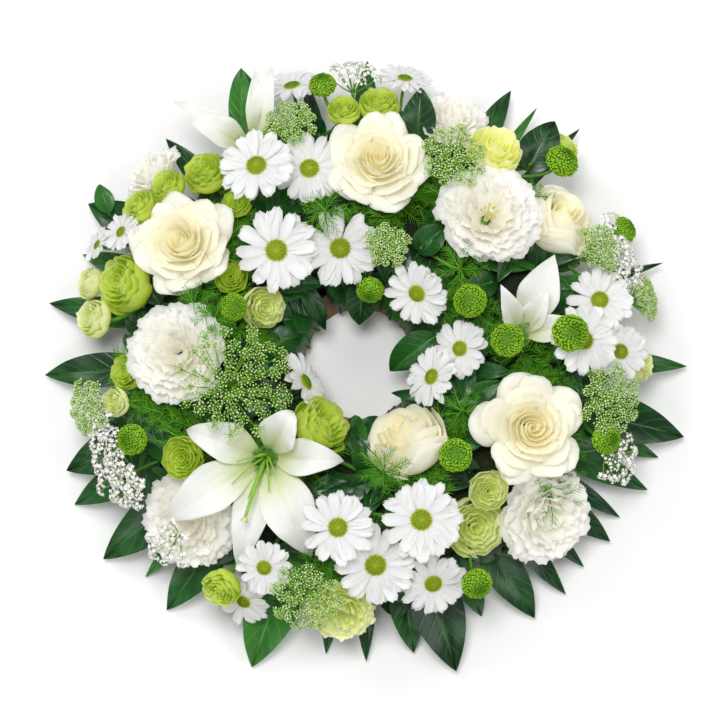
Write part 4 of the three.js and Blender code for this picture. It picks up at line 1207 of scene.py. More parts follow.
@dataclass(frozen=True)
class LeafFinish(Finish):
    """A waxy leaf with a pale midrib and side veins, and patches of lighter green."""

    dark: Colour = (0.002, 0.024, 0.006)
    light: Colour = (0.014, 0.105, 0.014)
    vein: Colour = (0.05, 0.19, 0.035)

    def look(self, tree: Tree) -> tuple[Socket, Socket]:
        """Returns the sockets of its colour and of the height of its relief."""
        along, across, tone = mark(tree, "along"), mark(tree, "across"), mark(tree, "tone")
        patches = Effects.use(tree, Effects.mottle(), Scale=45.0)
        off = sum_of(tree, "ABSOLUTE", across, 0.0)
        run = sum_of(tree, "SUBTRACT", sum_of(tree, "MULTIPLY", along, 7.0), sum_of(tree, "MULTIPLY", off, 1.6))
        wave = sum_of(tree, "COSINE", sum_of(tree, "MULTIPLY", run, 2 * math.pi), 0.0)
        side = ranged(tree, wave, 0.75, 1.0, 0.0, 0.45)
        rib = ranged(tree, off, 0.02, 0.09, 1.0, 0.0)
        veins = sum_of(tree, "MAXIMUM", side, rib)
        mixed = sum_of(tree, "ADD", sum_of(tree, "MULTIPLY", patches, 0.45), sum_of(tree, "MULTIPLY", tone, 0.55))
        body = blended(tree, ranged(tree, mixed, 0.1, 0.95), self.dark, self.light)
        body = blended(tree, sum_of(tree, "MULTIPLY", veins, 0.5), body, self.vein)
        return body, sum_of(tree, "SUBTRACT", 1.0, veins)


@dataclass(frozen=True)
class SpeckFinish(Finish):
    """Small florets and stalks: one colour that runs to another from one mark's low values to its high ones."""

    low: Colour = (0.2, 0.4, 0.05)
    high: Colour = (0.4, 0.55, 0.1)
    by: str = "tone"
    dark: Colour = (0.1, 0.2, 0.03)

    def look(self, tree: Tree) -> tuple[Socket, Socket]:
        """Returns the sockets of its colour and of the height of its relief."""
        patches = Effects.use(tree, Effects.mottle(), Scale=220.0)
        body = blended(tree, ranged(tree, mark(tree, self.by), 0.05, 0.95), self.low, self.high)
        return blended(tree, sum_of(tree, "MULTIPLY", patches, 0.35), body, self.dark), patches


@dataclass(frozen=True)
class GrainFinish(Finish):
    """Pulp or foam: a coarse patch under a fine grain of pits and fibres."""

    low: Colour = (0.1, 0.06, 0.03)
    high: Colour = (0.3, 0.2, 0.1)
    grain: float = 900.0

    def look(self, tree: Tree) -> tuple[Socket, Socket]:
        """Returns the sockets of its colour and of the height of its relief."""
        coarse = Effects.use(tree, Effects.mottle(), Scale=70.0)
        fine = Effects.use(tree, Effects.mottle(), Scale=self.grain)
        share = sum_of(tree, "ADD", sum_of(tree, "MULTIPLY", coarse, 0.4), sum_of(tree, "MULTIPLY", fine, 0.6))
        return blended(tree, share, self.low, self.high), fine


FINISHES: dict[str, Finish] = {
    "rose": PetalFinish(
        "rose_petal", 0.5, scatter=0.7, scatter_mm=3.0, glow=0.1, glow_colour=(1.0, 0.9, 0.55),
        base=(0.71, 0.7, 0.34), blade=(0.84, 0.82, 0.69), edge=(0.86, 0.85, 0.76), heart=(0.96, 0.87, 0.54),
        hearted=0.8, density=12, reach=0.5, rim=(0.8, 0.79, 0.67),
    ),
    "white": PetalFinish(
        "lisianthus_petal", 0.55, scatter=0.7, base=(0.69, 0.69, 0.44), blade=(0.81, 0.805, 0.76),
        edge=(0.86, 0.855, 0.835), heart=(0.88, 0.85, 0.71), hearted=0.5, density=16, reach=0.6, glow=0.1,
        glow_colour=(1.0, 0.93, 0.77), rim=(0.8, 0.785, 0.74),
    ),
    "lime": PetalFinish(
        "lime_petal", 0.5, scatter=0.6, scatter_colour=(0.8, 1.0, 0.2), base=(0.32, 0.5, 0.015), glow=0.08,
        glow_colour=(0.55, 0.75, 0.05), blade=(0.43, 0.6, 0.04), edge=(0.54, 0.68, 0.1), heart=(0.4, 0.56, 0.03),
        hearted=0.4, density=16, rim=(0.42, 0.56, 0.06),
    ),
    "pale_lime": PetalFinish(
        "pale_lime_petal", 0.5, scatter=0.6, scatter_colour=(0.85, 1.0, 0.35), glow=0.08,
        glow_colour=(0.75, 0.8, 0.35), base=(0.48, 0.62, 0.07), blade=(0.67, 0.76, 0.2), edge=(0.81, 0.85, 0.42),
        heart=(0.56, 0.68, 0.12), hearted=0.5, density=16, rim=(0.63, 0.72, 0.18),
    ),
    "yellow_lime": PetalFinish(
        "yellow_lime_petal", 0.5, scatter=0.6, scatter_colour=(0.9, 1.0, 0.35), glow=0.16,
        glow_colour=(0.85, 0.85, 0.25), base=(0.56, 0.64, 0.06), blade=(0.8, 0.82, 0.24), edge=(0.88, 0.88, 0.46),
        heart=(0.74, 0.76, 0.16), hearted=0.5, density=16, rim=(0.68, 0.72, 0.2),
    ),
    "daisy": PetalFinish(
        "daisy_petal", 0.6, scatter=0.5, base=(0.8, 0.84, 0.62), blade=(0.84, 0.84, 0.83), edge=(0.86, 0.86, 0.855),
        heart=(0.84, 0.84, 0.83), hearted=0.2, density=7, reach=0.22, bump=0.5, glow=0.06, gloss=0.1,
        rim=(0.86, 0.86, 0.87),
    ),
    "lily": LilyFinish("lily_petal", 0.45, scatter=0.4, bump=0.4, glow=0.02),
    "leaf": LeafFinish("leaf_upper", 0.3, bump=0.5, depth_mm=0.5, gloss=0.5),
    "fresh_leaf": LeafFinish(
        "fresh_leaf_upper", 0.35, bump=0.5, depth_mm=0.5, gloss=0.5, dark=(0.008, 0.08, 0.008),
        light=(0.035, 0.2, 0.016), vein=(0.13, 0.34, 0.06),
    ),
    "leaf_under": SpeckFinish(
        "leaf_underside", 0.6, low=(0.02, 0.12, 0.02), high=(0.05, 0.2, 0.04), dark=(0.02, 0.09, 0.015),
    ),
    "sepal": SpeckFinish("sepal", 0.55, low=(0.1, 0.28, 0.02), high=(0.18, 0.38, 0.04), dark=(0.06, 0.2, 0.01)),
    "stem": SpeckFinish("stem", 0.5, low=(0.05, 0.2, 0.01), high=(0.12, 0.32, 0.03), dark=(0.04, 0.14, 0.01)),
    "stalk": SpeckFinish("fine_stalk", 0.55, low=(0.14, 0.38, 0.02), high=(0.32, 0.56, 0.06), dark=(0.1, 0.28, 0.02)),
    "umbel": SpeckFinish("umbel_floret", 0.6, low=(0.3, 0.54, 0.08), high=(0.8, 0.88, 0.52), dark=(0.24, 0.46, 0.05)),
    "frond": SpeckFinish(
        "frond_needle", 0.55, low=(0.035, 0.21, 0.006), high=(0.17, 0.45, 0.02), dark=(0.025, 0.14, 0.006),
    ),
    "button": SpeckFinish(
        "button_floret", 0.55, low=(0.07, 0.23, 0.004), high=(0.28, 0.52, 0.02), by="along",
        dark=(0.12, 0.31, 0.005),
    ),
    "disc": SpeckFinish(
        "disc_floret", 0.6, low=(0.05, 0.2, 0.004), high=(0.56, 0.54, 0.015), by="along", dark=(0.09, 0.24, 0.005),
    ),
    "filler": SpeckFinish(
        "filler_petal", 0.6, low=(0.88, 0.86, 0.84), high=(0.93, 0.93, 0.92), dark=(0.7, 0.58, 0.54),
    ),
    "stigma": SpeckFinish("stigma", 0.5, low=(0.6, 0.66, 0.3), high=(0.75, 0.78, 0.45), dark=(0.4, 0.5, 0.15)),
    "stamen": SpeckFinish("stamen", 0.6, low=(0.75, 0.6, 0.08), high=(0.85, 0.72, 0.15), dark=(0.6, 0.45, 0.05)),
    "pulp": GrainFinish(
        "moulded_pulp", 0.95, bump=0.6, depth_mm=0.8, low=(0.2, 0.125, 0.065), high=(0.4, 0.27, 0.155),
    ),
    "foam": GrainFinish(
        "flower_foam", 0.95, bump=0.9, depth_mm=1.2, low=(0.01, 0.022, 0.008), high=(0.04, 0.055, 0.022),
        grain=700.0,
    ),
}


@dataclass(frozen=True)
class Dome:
    """The bowed surface that the heads follow over the foam, and where their stems end in it."""

    crest: float = 128.0
    foot: float = 32.0
    rise: float = 74.0
    outward: float = 116.0
    inward: float = 90.0
    steepest: float = 0.93
    facing: float = 0.8
    inner_head: float = 50.0
    outer_head: float = 235.0
    inner_root: float = 90.0
    outer_root: float = 148.0
    root_height: float = 45.0

    def slope(self, r: float) -> float:
        """Returns the dome's slope at that radius."""
        share = (r - self.crest) / (self.outward if r > self.crest else self.inward)
        return math.asin(max(-self.steepest, min(self.steepest, share)))

    def stand(self, at: Point, lift: float = 0.0, lean: Point = (0.0, 0.0)) -> Place:
        """Works out the frame of a head.

        Args:
            at: where it stands, seen from above.
            lift: how far it is raised over the dome.
            lean: how far its face is tipped.

        Returns:
            The head's frame.
        """
        r = math.hypot(at[0], at[1])
        slope = self.slope(r)
        tilt = self.facing * math.sin(slope)
        way = np.array([at[0] / r * tilt + lean[0], at[1] / r * tilt + lean[1], math.cos(slope)])
        middle = np.array([at[0], at[1], self.foot + self.rise * math.cos(slope) + lift])
        return Place(middle, turn_to(way))

    def root(self, at: Point) -> Array:
        """Works out where a head's stem ends in the foam.

        Args:
            at: where the head stands, seen from above.

        Returns:
            The stem's end.
        """
        r = math.hypot(at[0], at[1])
        share = (r - self.inner_head) / (self.outer_head - self.inner_head)
        reach = self.inner_root + (self.outer_root - self.inner_root) * share
        return np.array([at[0] / r * reach, at[1] / r * reach, self.root_height])


DOME = Dome()


@dataclass(frozen=True)
class Head:
    """One head or leaf of a spray: across is its diameter, lift raises it over the dome and lean tips its face."""

    kind: Kind
    at: Point = (0.0, 0.0)
    across: float = 0.0
    lift: float = 0.0
    lean: Point = (0.0, 0.0)
    spin: float = 0.4
    tint: Tint = Tint.LIME
    blade: Blade | None = None
    petals: tuple[tuple[Point, float, float, float], ...] = ()  # each one's tip, width, rise and fold


BLOOMS = {
    Kind.ROSE: DoubleBloom(ROSE_WHORLS, neck=0.74, sepal_reach=0.74),
    Kind.HALF_ROSE: DoubleBloom(HALF_ROSE_WHORLS, neck=1.3, sepal_reach=0.9),
    Kind.LISIANTHUS: DoubleBloom(LISIANTHUS_WHORLS, neck=0.72, sepal_reach=0.5),
    Kind.OPEN_LISIANTHUS: DoubleBloom(LISIANTHUS_WHORLS[:-1], neck=0.72, sepal_reach=0.5, stamens=7),
    Kind.GOBLET: DoubleBloom(GOBLET_WHORLS, neck=1.1, sepal_reach=0.85),
}
UMBEL = RayedHead("umbel", KNOB, rays=8, rays_per_mm=0.52, spread=0.5, florets=22, cluster=(0.06, 3.0),
                  floret_mm=(0.75, 1.25))
FILLER = RayedHead("filler", STAR_FLORET, rays=14, rays_per_mm=0.0, spread=0.65, florets=8, cluster=(0.09, 2.6),
                   floret_mm=(1.6, 2.8), floret_tall=1.5)
HEADS = {Kind.DAISY: Daisy(), Kind.BUTTON: Button(), Kind.UMBEL: UMBEL, Kind.FILLER: FILLER, Kind.FROND: Frond()}
THIN_STEMMED = (Kind.LEAF, Kind.FROND, Kind.FILLER, Kind.UMBEL, Kind.DAISY, Kind.BUTTON)


@dataclass(frozen=True)
class LilyThroat:
    """What a lily has besides its petals: a cup, and in an open one a pistil and the stamens' filaments."""

    petal_start: float = 6.0  # how far out of the throat a petal starts
    broad_from: float = 33.0  # a wider petal than this has the broad outline
    open_petals: int = 6
    neck: float = 10.0
    pistil_pull: Point = (-78.0, -98.0, 122.0)
    pistil_tip: Point = (-89.0, -133.0, 116.0)
    filaments: int = 6

    def build(self, draft: Draft, head: Head, rng: Rng) -> tuple[Array, Array]:
        """Adds a lily.

        Args:
            draft: where it goes.
            head: its throat's place and its petals.
            rng: the spray's draw.

        Returns:
            Where its stem meets it, and the way the stem leaves.
        """
        throat = np.array(head.at, float)
        for tip, wide, rise, fold in head.petals:
            out = np.array([tip[0], tip[1], 0.0]) - np.array([throat[0], throat[1], 0.0])
            blade = Blade(tuple(throat + unit(out) * self.petal_start), tip, wide, rise, fold)
            blade.build_petal(draft, rng, BROAD_PETAL if wide > self.broad_from else NARROW_PETAL)
        cup = ringed(10, [(5.5, -6.0), (8.5, 0.5)], 1.0, -11.0)
        cup.scatter(draft, throat[None], UP[None], [1.0], "sepal", 0.5)
        if len(head.petals) == self.open_petals:
            self.build_pistil(draft, throat, rng)
        return throat - np.array([0, 0, self.neck]), -UP

    def build_pistil(self, draft: Draft, throat: Array, rng: Rng) -> None:
        """Adds the pistil and the filaments round it.

        Args:
            draft: where they go.
            throat: where they grow from.
            rng: the draw of the filaments' heights.
        """
        tip = np.array(self.pistil_tip)
        style = bezier(throat, np.array(self.pistil_pull), tip, np.linspace(0, 1, 12))
        tube(draft, style, np.linspace(1.7, 1.2, 12), "stalk", 8, 0.7)
        STIGMA.scatter(draft, tip[None], (tip - style[-3])[None], [3.0], "stigma")
        lean = np.array([-9.0, -17.0, 0.0])
        for k in range(self.filaments):
            angle = k * 2 * np.pi / self.filaments + 0.3
            end = throat + lean + spoke(17, angle, 30.0 + 3 * rng.normal())
            pull = throat + spoke(3, angle, 26.0)
            path = bezier(throat, pull, end, np.linspace(0, 1, 9))
            tube(draft, path, np.linspace(1.1, 0.55, 9), "stalk", 6, 0.8)


@dataclass(frozen=True)
class Spray:
    """One cut spray: the heads that grow on one stem."""

    name: str
    slot: str
    heads: tuple[Head, ...]
    root: tuple[float, float] | None = None
    lowest_fork: float = 66.0
    fork_step: float = 5.0
    leaf_fork_step: float = 0.25  # the same for a spray whose stem ends in a leaf, as a share of the stem

    def bloom_finish(self, head: Head) -> str:
        """Returns the finish of a double bloom of this spray."""
        if head.kind in (Kind.ROSE, Kind.HALF_ROSE):
            return "rose"
        return head.tint.value if self.slot == "lime_blooms" else "white"

    def build_head(self, draft: Draft, head: Head, rng: Rng) -> tuple[Array, Array]:
        """Adds a head.

        Args:
            draft: where it goes.
            head: which one.
            rng: the spray's draw.

        Returns:
            Where its stem meets it, and the way the stem leaves.
        """
        if head.kind is Kind.LEAF:
            head.blade.build_leaf(draft, rng, petiole=False, grid=FINE_LEAF)
            return head.blade.middle(np.array([0.12]))[0], -UP
        if head.kind is Kind.LILY:
            return LilyThroat().build(draft, head, rng)
        bench = Bench(draft, DOME.stand(head.at, head.lift, head.lean), head.across / 2, rng)
        if head.kind in BLOOMS:
            made = BLOOMS[head.kind]
            made.build(bench, self.bloom_finish(head), head.spin)
        else:
            made = HEADS[head.kind]
            made.build(bench)
        way = -bench.place.turn[:, 2]
        return bench.place.middle + way * made.neck * bench.radius, way

    def chief_head(self, necks: Sequence[Array]) -> int:
        """Returns which head the stem runs straight to: the one nearest the crest that isn't a leaf."""
        far = [abs(math.hypot(neck[0], neck[1]) - DOME.crest) + LEAF_HANDICAP * (head.kind is Kind.LEAF)
               for neck, head in zip(necks, self.heads, strict=True)]
        return int(np.argmin(far))

    def build(self) -> None:
        """Makes the spray's piece."""
        rng = np.random.default_rng(sum(ord(c) * (k + 3) for k, c in enumerate(self.name)))
        draft = Draft()
        necks = [self.build_head(draft, head, rng) for head in self.heads]
        chief = self.chief_head([neck for neck, _ in necks])
        top = necks[chief][0]
        foot = np.array([*self.root, DOME.root_height]) if self.root else DOME.root(self.heads[chief].at)
        forks = 0
        for k, (neck, way) in enumerate(necks):
            end = foot
            if k != chief:
                height = min(self.lowest_fork + self.fork_step * forks, top[2] - 3)
                share = (height - foot[2]) / (top[2] - foot[2])
                if self.heads[chief].kind is Kind.LEAF:
                    share = self.leaf_fork_step * (forks + 1)
                end = foot + (top - foot) * share
                forks += 1
            reach = float(np.linalg.norm(end - neck))
            path = bezier(neck - way * 1.0, neck + way * 0.3 * reach, end, np.linspace(0, 1, 7))
            radii = np.linspace(1.3, 1.5, 7) if self.heads[k].kind in THIN_STEMMED else np.linspace(1.9, 2.0, 7)
            tube(draft, path, radii, "stem", 7, rng.uniform())
        draft.piece(f"{self.name}_spray", self.slot, self.name)


@dataclass(frozen=True)
class Garland:
    """A leafy twig bent round the outside of the foam. Each leaf is the place of its tip and its width."""

    name: str
    leaves: tuple[tuple[Point, float], ...]
    circle: float = 174.6
    height: float = 32.0
    reach: float = 1.03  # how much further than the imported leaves' blunt tips these pointed ones go
    fresh: float = 0.2  # how many of the leaves are young and bright
    wider: float = 1.12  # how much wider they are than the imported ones
    twig: float = 1.6  # the twig's radius
    pin: float = 13.0  # how far its two ends are pushed into the foam
    steps: int = 8  # from one leaf to the next

    def on_circle(self, p: Point) -> Array:
        """Returns the point of the twig that is nearest p."""
        r = math.hypot(p[0], p[1])
        return np.array([p[0] / r * self.circle, p[1] / r * self.circle, self.height])

    def build(self) -> None:
        """Makes the twig's piece."""
        rng = np.random.default_rng(len(self.name) * 31 + len(self.leaves))
        draft = Draft()
        feet = [self.on_circle(tip) for tip, _ in self.leaves]
        path = []
        for a, b in zip(feet, feet[1:]):
            path += [self.on_circle(a + (b - a) * t) for t in np.linspace(0, 1, self.steps, endpoint=False)]
        path.append(feet[-1])
        tube(draft, np.array(path), self.twig, "stem", 7)
        for end in (feet[0], feet[-1]):
            inward = end * np.array([(self.circle - self.pin) / self.circle] * 2 + [1.0])
            tube(draft, np.stack([end, (end + inward) / 2, inward]), 1.5, "stem", 6)
        for (tip, wide), foot in zip(self.leaves, feet, strict=True):
            end = (tip[0] * self.reach, tip[1] * self.reach, tip[2])
            kind = "fresh_leaf" if rng.uniform() < self.fresh else "leaf"
            Blade(tuple(foot), end, wide * self.wider).build_leaf(draft, rng, kind, grid=FINE_LEAF)
        draft.piece(f"{self.name}_twig", "leaves", self.name)


@dataclass(frozen=True)
class RingBase:
    """The moulded pulp tray and the ring of foam in it, as turned profiles of (radius, height)."""

    facets: int = 16
    wall: float = 3.0
    inner_foot: float = 46.0
    inner_lip: float = 59.0
    outer_foot: float = 165.0
    outer_lip: float = 178.0
    height: float = 25.0
    facet_steps: int = 8  # points to each of the tray's facets
    pulp_bump: float = 0.16
    foam_facets: int = 20
    foam_steps: int = 160
    foam_cell: float = 5.0  # how far apart the points of its profile are
    pit: float = 2.4  # how deep its pits are
    grain: float = 0.5
    foam_floor: float = 6.0  # no pits under this height
    foam_crown: float = 40.0  # over this height they go down, too
    foam_profile: tuple[tuple[float, float], ...] = (
        (67, 3.4), (110, 3.4), (154, 3.4), (160, 20), (166, 32), (171, 44), (166, 50), (160, 56), (153, 60),
        (132, 60), (112, 60), (96, 60), (82, 60), (76, 56), (71, 50), (67, 44), (67, 30), (67, 16),
    )

    def turned(self, profile: Sequence[Point], steps: int, facets: int) -> Array:
        """Returns a closed profile turned about +Z, with flats between the facets' corners.

        Args:
            profile: its points.
            steps: how many points there are round it.
            facets: how many flats there are.

        Returns:
            The points, steps by the profile's length by 3.
        """
        angle = np.linspace(0, 2 * np.pi, steps, endpoint=False)
        half = np.pi / facets
        flat = np.cos(half) / np.cos((angle % (2 * half)) - half)
        r, z = np.array(profile, float).T
        ring = r[None] * flat[:, None]
        heights = np.repeat(z[None], steps, 0)
        return np.stack([ring * np.cos(angle)[:, None], ring * np.sin(angle)[:, None], heights], -1)

    @staticmethod
    def closed_faces(steps: int, around: int) -> Array:
        """Makes the faces of a grid that is closed both ways.

        Args:
            steps: how many rows it has.
            around: how many points a row has.

        Returns:
            The corners of the faces, each with four.
        """
        i, j = np.meshgrid(np.arange(steps), np.arange(around), indexing="ij")
        a, b = (i + 1) % steps, (j + 1) % around
        return np.stack([i * around + j, a * around + j, a * around + b, i * around + b], -1).reshape(-1, 4)

    def build_tray(self) -> None:
        """Makes the tray's piece: a thin faceted channel with a rounded lip and the pulp's uneven skin."""
        rng = np.random.default_rng(5)
        low, w, top = 0.0, self.wall, self.height
        slant, rim = self.inner_lip - self.inner_foot, self.outer_lip - self.outer_foot
        corners = [(self.inner_foot + 1.0, low), (self.inner_foot + 0.5, 0.4)]
        corners += [(self.inner_foot + slant * t, top * t) for t in (0.1, 0.35, 0.6, 0.85, 0.96)]
        corners += [(self.inner_lip + 0.6, top), (self.inner_lip + w - 0.5, top)]
        corners += [(self.inner_lip + w - slant * t, top - (top - w) * t) for t in (0.1, 0.5, 0.9)]
        corners += [(self.inner_foot + w + 3, w), (80, w), (106, w), (132, w), (self.outer_foot - w - 3, w)]
        corners += [(self.outer_foot - w + rim * t, w + (top - w) * t) for t in (0.1, 0.5, 0.9)]
        corners += [(self.outer_lip - w + 0.5, top), (self.outer_lip - 0.6, top)]
        corners += [(self.outer_foot + rim * t, top * t) for t in (0.96, 0.85, 0.6, 0.35, 0.1)]
        corners += [(self.outer_foot - 0.5, 0.4), (self.outer_foot - 1.0, low), (132, low), (106, low), (80, low)]
        steps = self.facets * self.facet_steps
        points = self.turned(corners, steps, self.facets)
        bumpy = rng.normal(0, self.pulp_bump, points.shape) * (points[..., 2:3] > 0.5)
        faces = self.closed_faces(steps, len(corners))[:, ::-1]
        draft = Draft()
        draft.add((points + bumpy).reshape(-1, 3), faces, "pulp")
        draft.piece("pulp_tray_moulded", "pulp", "pulp_tray")

    def build_foam(self) -> None:
        """Makes the foam's piece, with crumbled patches and pits."""
        rng = np.random.default_rng(9)
        profile = np.array(self.foam_profile, float)
        fine = []
        for a, b in zip(profile, np.roll(profile, -1, 0)):
            steps = max(1, round(float(np.linalg.norm(b - a)) / self.foam_cell))
            fine += [a + (b - a) * t for t in np.linspace(0, 1, steps, endpoint=False)]
        points = self.turned(fine, self.foam_steps, self.foam_facets)
        pits = rng.uniform(0, 1, points.shape[:2])
        inward = np.array([0, 0, 30.0]) - points * np.array([0, 0, 1.0])
        dent = -self.pit * smooth(0.86, 1.0, pits) - self.grain * rng.uniform(0, 1, pits.shape)
        lowered = points[..., 2] > self.foam_floor
        points = points + unit(inward + 1e-6) * (-dent * lowered)[..., None] * 0.4
        points[..., 2] += dent * lowered * (points[..., 2] > self.foam_crown)
        draft = Draft()
        draft.add(points.reshape(-1, 3), self.closed_faces(self.foam_steps, len(fine)), "foam")
        draft.piece("foam_ring_crumbled", "foam", "foam_ring")


# Where small white florets fill the gaps between the heads.
FLORET_PLACES = ((-197, -78), (-182, -106), (-207, -52), (-150, -150), (214, 66), (206, 100), (206, -84))
# Leaves that stand clear of their neighbours in the photograph.
LONE_LEAVES = (
    Blade((-96, 180, 46), (-98, 244, 34), 21, 5, 0.35),
    Blade((-206, 122, 30), (-214, 146, 26), 16),
    Blade((132, 104, 60), (110, 58, 74), 22),
    Blade((92, 82, 62), (134, 68, 72), 19),
    Blade((152, 72, 60), (114, 84, 74), 18),
    Blade((64, 120, 62), (50, 82, 72), 18),
)


@dataclass(frozen=True)
class LeafBand:
    """A band of leaves round the ring. Each leaf draws its sizes from the ranges."""

    count: int
    foot: float  # the radius of the circle that they grow from
    height: float  # how high they grow from
    stray: float  # how unevenly they stand round it
    turn: float  # how far they turn from straight out or in
    reach: tuple[float, float]  # the radius of the circle that their tips reach
    tip: tuple[float, float]  # how high their tips are
    wide: tuple[float, float]
    rise: tuple[float, float]
    fresh: float = 0.0  # how many of them are young and bright

    def base(self, k: int, rng: Rng) -> tuple[float, Array]:
        """Returns the angle of a leaf of the band and where it grows from."""
        angle = k * 2 * np.pi / self.count + rng.normal(0, self.stray)
        return angle, spoke(self.foot, angle, self.height)

    def build_leaf(self, draft: Draft, rng: Rng, base: Array, tip: Point) -> None:
        """Adds a leaf of the band.

        Args:
            draft: where it goes.
            rng: the draw of its age, its width and how far it bows.
            base: where it grows from.
            tip: where it ends.
        """
        kind = "fresh_leaf" if self.fresh and rng.uniform() < self.fresh else "leaf"
        blade = Blade(tuple(base), tuple(tip), rng.uniform(*self.wide), rng.uniform(*self.rise))
        blade.build_leaf(draft, rng, kind)


@dataclass(frozen=True)
class Bedding:
    """The low greenery between the heads: leaves on the crown and down both sides of the foam, and feathery fronds."""

    crown: LeafBand = LeafBand(170, 82, 60, 0.1, 1.9, (30, 46), (10, 22), (14, 22), (2, 6), 0.3)
    collar: LeafBand = LeafBand(34, 94, 62, 0.06, 0.25, (60, 68), (60, 70), (16, 23), (3, 6))
    side: LeafBand = LeafBand(92, 167, 56, 0.05, 0.2, (192, 214), (8, 22), (15, 28), (4, 10), 0.25)
    inner: LeafBand = LeafBand(88, 76, 58, 0.06, 0.12, (44.5, 48), (6, 40), (16, 24), (3, 7), 0.3)
    north_reach: tuple[float, float] = (39.5, 45)  # the inner leaves' reach on the far side of the hole
    crown_width: float = 78.0  # how wide the ring is that the crown's leaves grow from
    hole_clear: float = 72.0  # no leaf of the crown reaches further in than this
    side_levels: int = 3
    level_drop: float = 11.0  # how much lower each level of the side leaves grows
    level_hang: float = 13.0  # how much higher the tips of each level over the lowest are
    bare_tray: tuple[float, float] = (math.radians(106), math.radians(137))  # where the tray shows in the hole
    frond: Frond = Frond(branches=10)
    fronds: int = 96
    frond_ring: tuple[float, float] = (74.0, 118.0)  # where the ring of fronds starts, and its width
    frond_floor: float = 61.0  # fronds over the foam stand no lower than this
    foam_reach: float = 160.0
    florets: RayedHead = replace(FILLER, rays=13, spread=0.5)

    def build_crown(self, draft: Draft, rng: Rng) -> None:
        """Adds the leaves that lie every way on top of the foam.

        Args:
            draft: where they go.
            rng: the bed's draw.
        """
        band = self.crown
        for k in range(band.count):
            angle = k * GOLDEN + rng.normal(0, band.stray)
            r = band.foot + self.crown_width * ((k * 0.618) % 1)
            base = spoke(r, angle, band.height)
            way = angle + rng.uniform(-band.turn, band.turn)
            length = rng.uniform(*band.reach)
            tip = base + spoke(length, way, rng.uniform(*band.tip))
            if math.hypot(tip[0], tip[1]) < self.hole_clear:
                tip[:2] = unit(tip[:2]) * self.hole_clear
            band.build_leaf(draft, rng, base, tip)

    def build_collar(self, draft: Draft, rng: Rng) -> None:
        """Adds the leaves that reach in over the hole's upper edge.

        Args:
            draft: where they go.
            rng: the bed's draw.
        """
        band = self.collar
        for k in range(band.count):
            angle, base = band.base(k, rng)
            reach, turn = rng.uniform(*band.reach), angle + rng.normal(0, band.turn)
            band.build_leaf(draft, rng, base, spoke(reach, turn, rng.uniform(*band.tip)))

    def build_side(self, draft: Draft, rng: Rng) -> None:
        """Adds the leaves that hang outwards from the foam's outer side, level under level.

        Args:
            draft: where they go.
            rng: the bed's draw.
        """
        band = self.side
        for k in range(band.count):
            angle, base = band.base(k, rng)
            level = k % self.side_levels
            base[2] -= self.level_drop * level
            reach = rng.uniform(*band.reach)
            drop = rng.uniform(*band.tip) + self.level_hang * (self.side_levels - 1 - level)
            turn = angle + rng.normal(0, band.turn)
            band.build_leaf(draft, rng, base, spoke(reach, turn, drop))

    def build_inner(self, draft: Draft, rng: Rng) -> None:
        """Adds the leaves that hang into the hole, apart from where the tray shows.

        Args:
            draft: where they go.
            rng: the bed's draw.
        """
        band = self.inner
        for k in range(band.count):
            angle, base = band.base(k, rng)
            if self.bare_tray[0] < angle < self.bare_tray[1]:
                continue
            reach = rng.uniform(*(self.north_reach if math.sin(angle) > 0 else band.reach))
            drop, turn = rng.uniform(*band.tip), angle + rng.normal(0, band.turn)
            band.build_leaf(draft, rng, base, spoke(reach, turn, drop))

    def build_fronds(self, draft: Draft, rng: Rng) -> None:
        """Adds the feathery fronds between the heads.

        Args:
            draft: where they go.
            rng: the bed's draw.
        """
        start, width = self.frond_ring
        for k in range(self.fronds):
            angle = k * GOLDEN * 1.7 + 0.5
            r = start + width * ((k * 0.755) % 1)
            place = DOME.stand((r * math.cos(angle), r * math.sin(angle)), -19 - rng.uniform(0, 8))
            if r < self.foam_reach:
                place.middle[2] = max(place.middle[2], self.frond_floor)
            self.frond.build(Bench(draft, place, rng.uniform(17, 25), rng))

    def build(self) -> None:
        """Makes the four pieces of the bed."""
        rng = np.random.default_rng(77)
        crown, skirt, ferny, tiny = Draft(), Draft(), Draft(), Draft()
        self.build_crown(crown, rng)
        self.build_collar(crown, rng)
        self.build_side(skirt, rng)
        self.build_inner(skirt, rng)
        self.build_fronds(ferny, rng)
        for blade in LONE_LEAVES:
            blade.build_leaf(crown, rng, "fresh_leaf", grid=FINE_LEAF)
        for at in FLORET_PLACES:
            self.florets.build(Bench(tiny, DOME.stand(at, -6.0), rng.uniform(15, 21), rng))
        tiny.piece("bed_florets", "filler_florets")
        crown.piece("bed_leaves", "leaves")
        skirt.piece("skirt_leaves", "leaves")
        ferny.piece("bed_fronds", "umbels_and_fronds")


button = partial(Head, Kind.BUTTON)
daisy = partial(Head, Kind.DAISY)
filler = partial(Head, Kind.FILLER)
frond = partial(Head, Kind.FROND)
goblet = partial(Head, Kind.GOBLET)
half_rose = partial(Head, Kind.HALF_ROSE)
lily = partial(Head, Kind.LILY)
lisianthus = partial(Head, Kind.LISIANTHUS)
open_lisianthus = partial(Head, Kind.OPEN_LISIANTHUS)
rose = partial(Head, Kind.ROSE)
umbel = partial(Head, Kind.UMBEL)


def leaf(base: Point, tip: Point, wide: float) -> Head:
    """Returns a leaf that grows on a spray."""
    return Head(Kind.LEAF, blade=Blade(base, tip, wide))


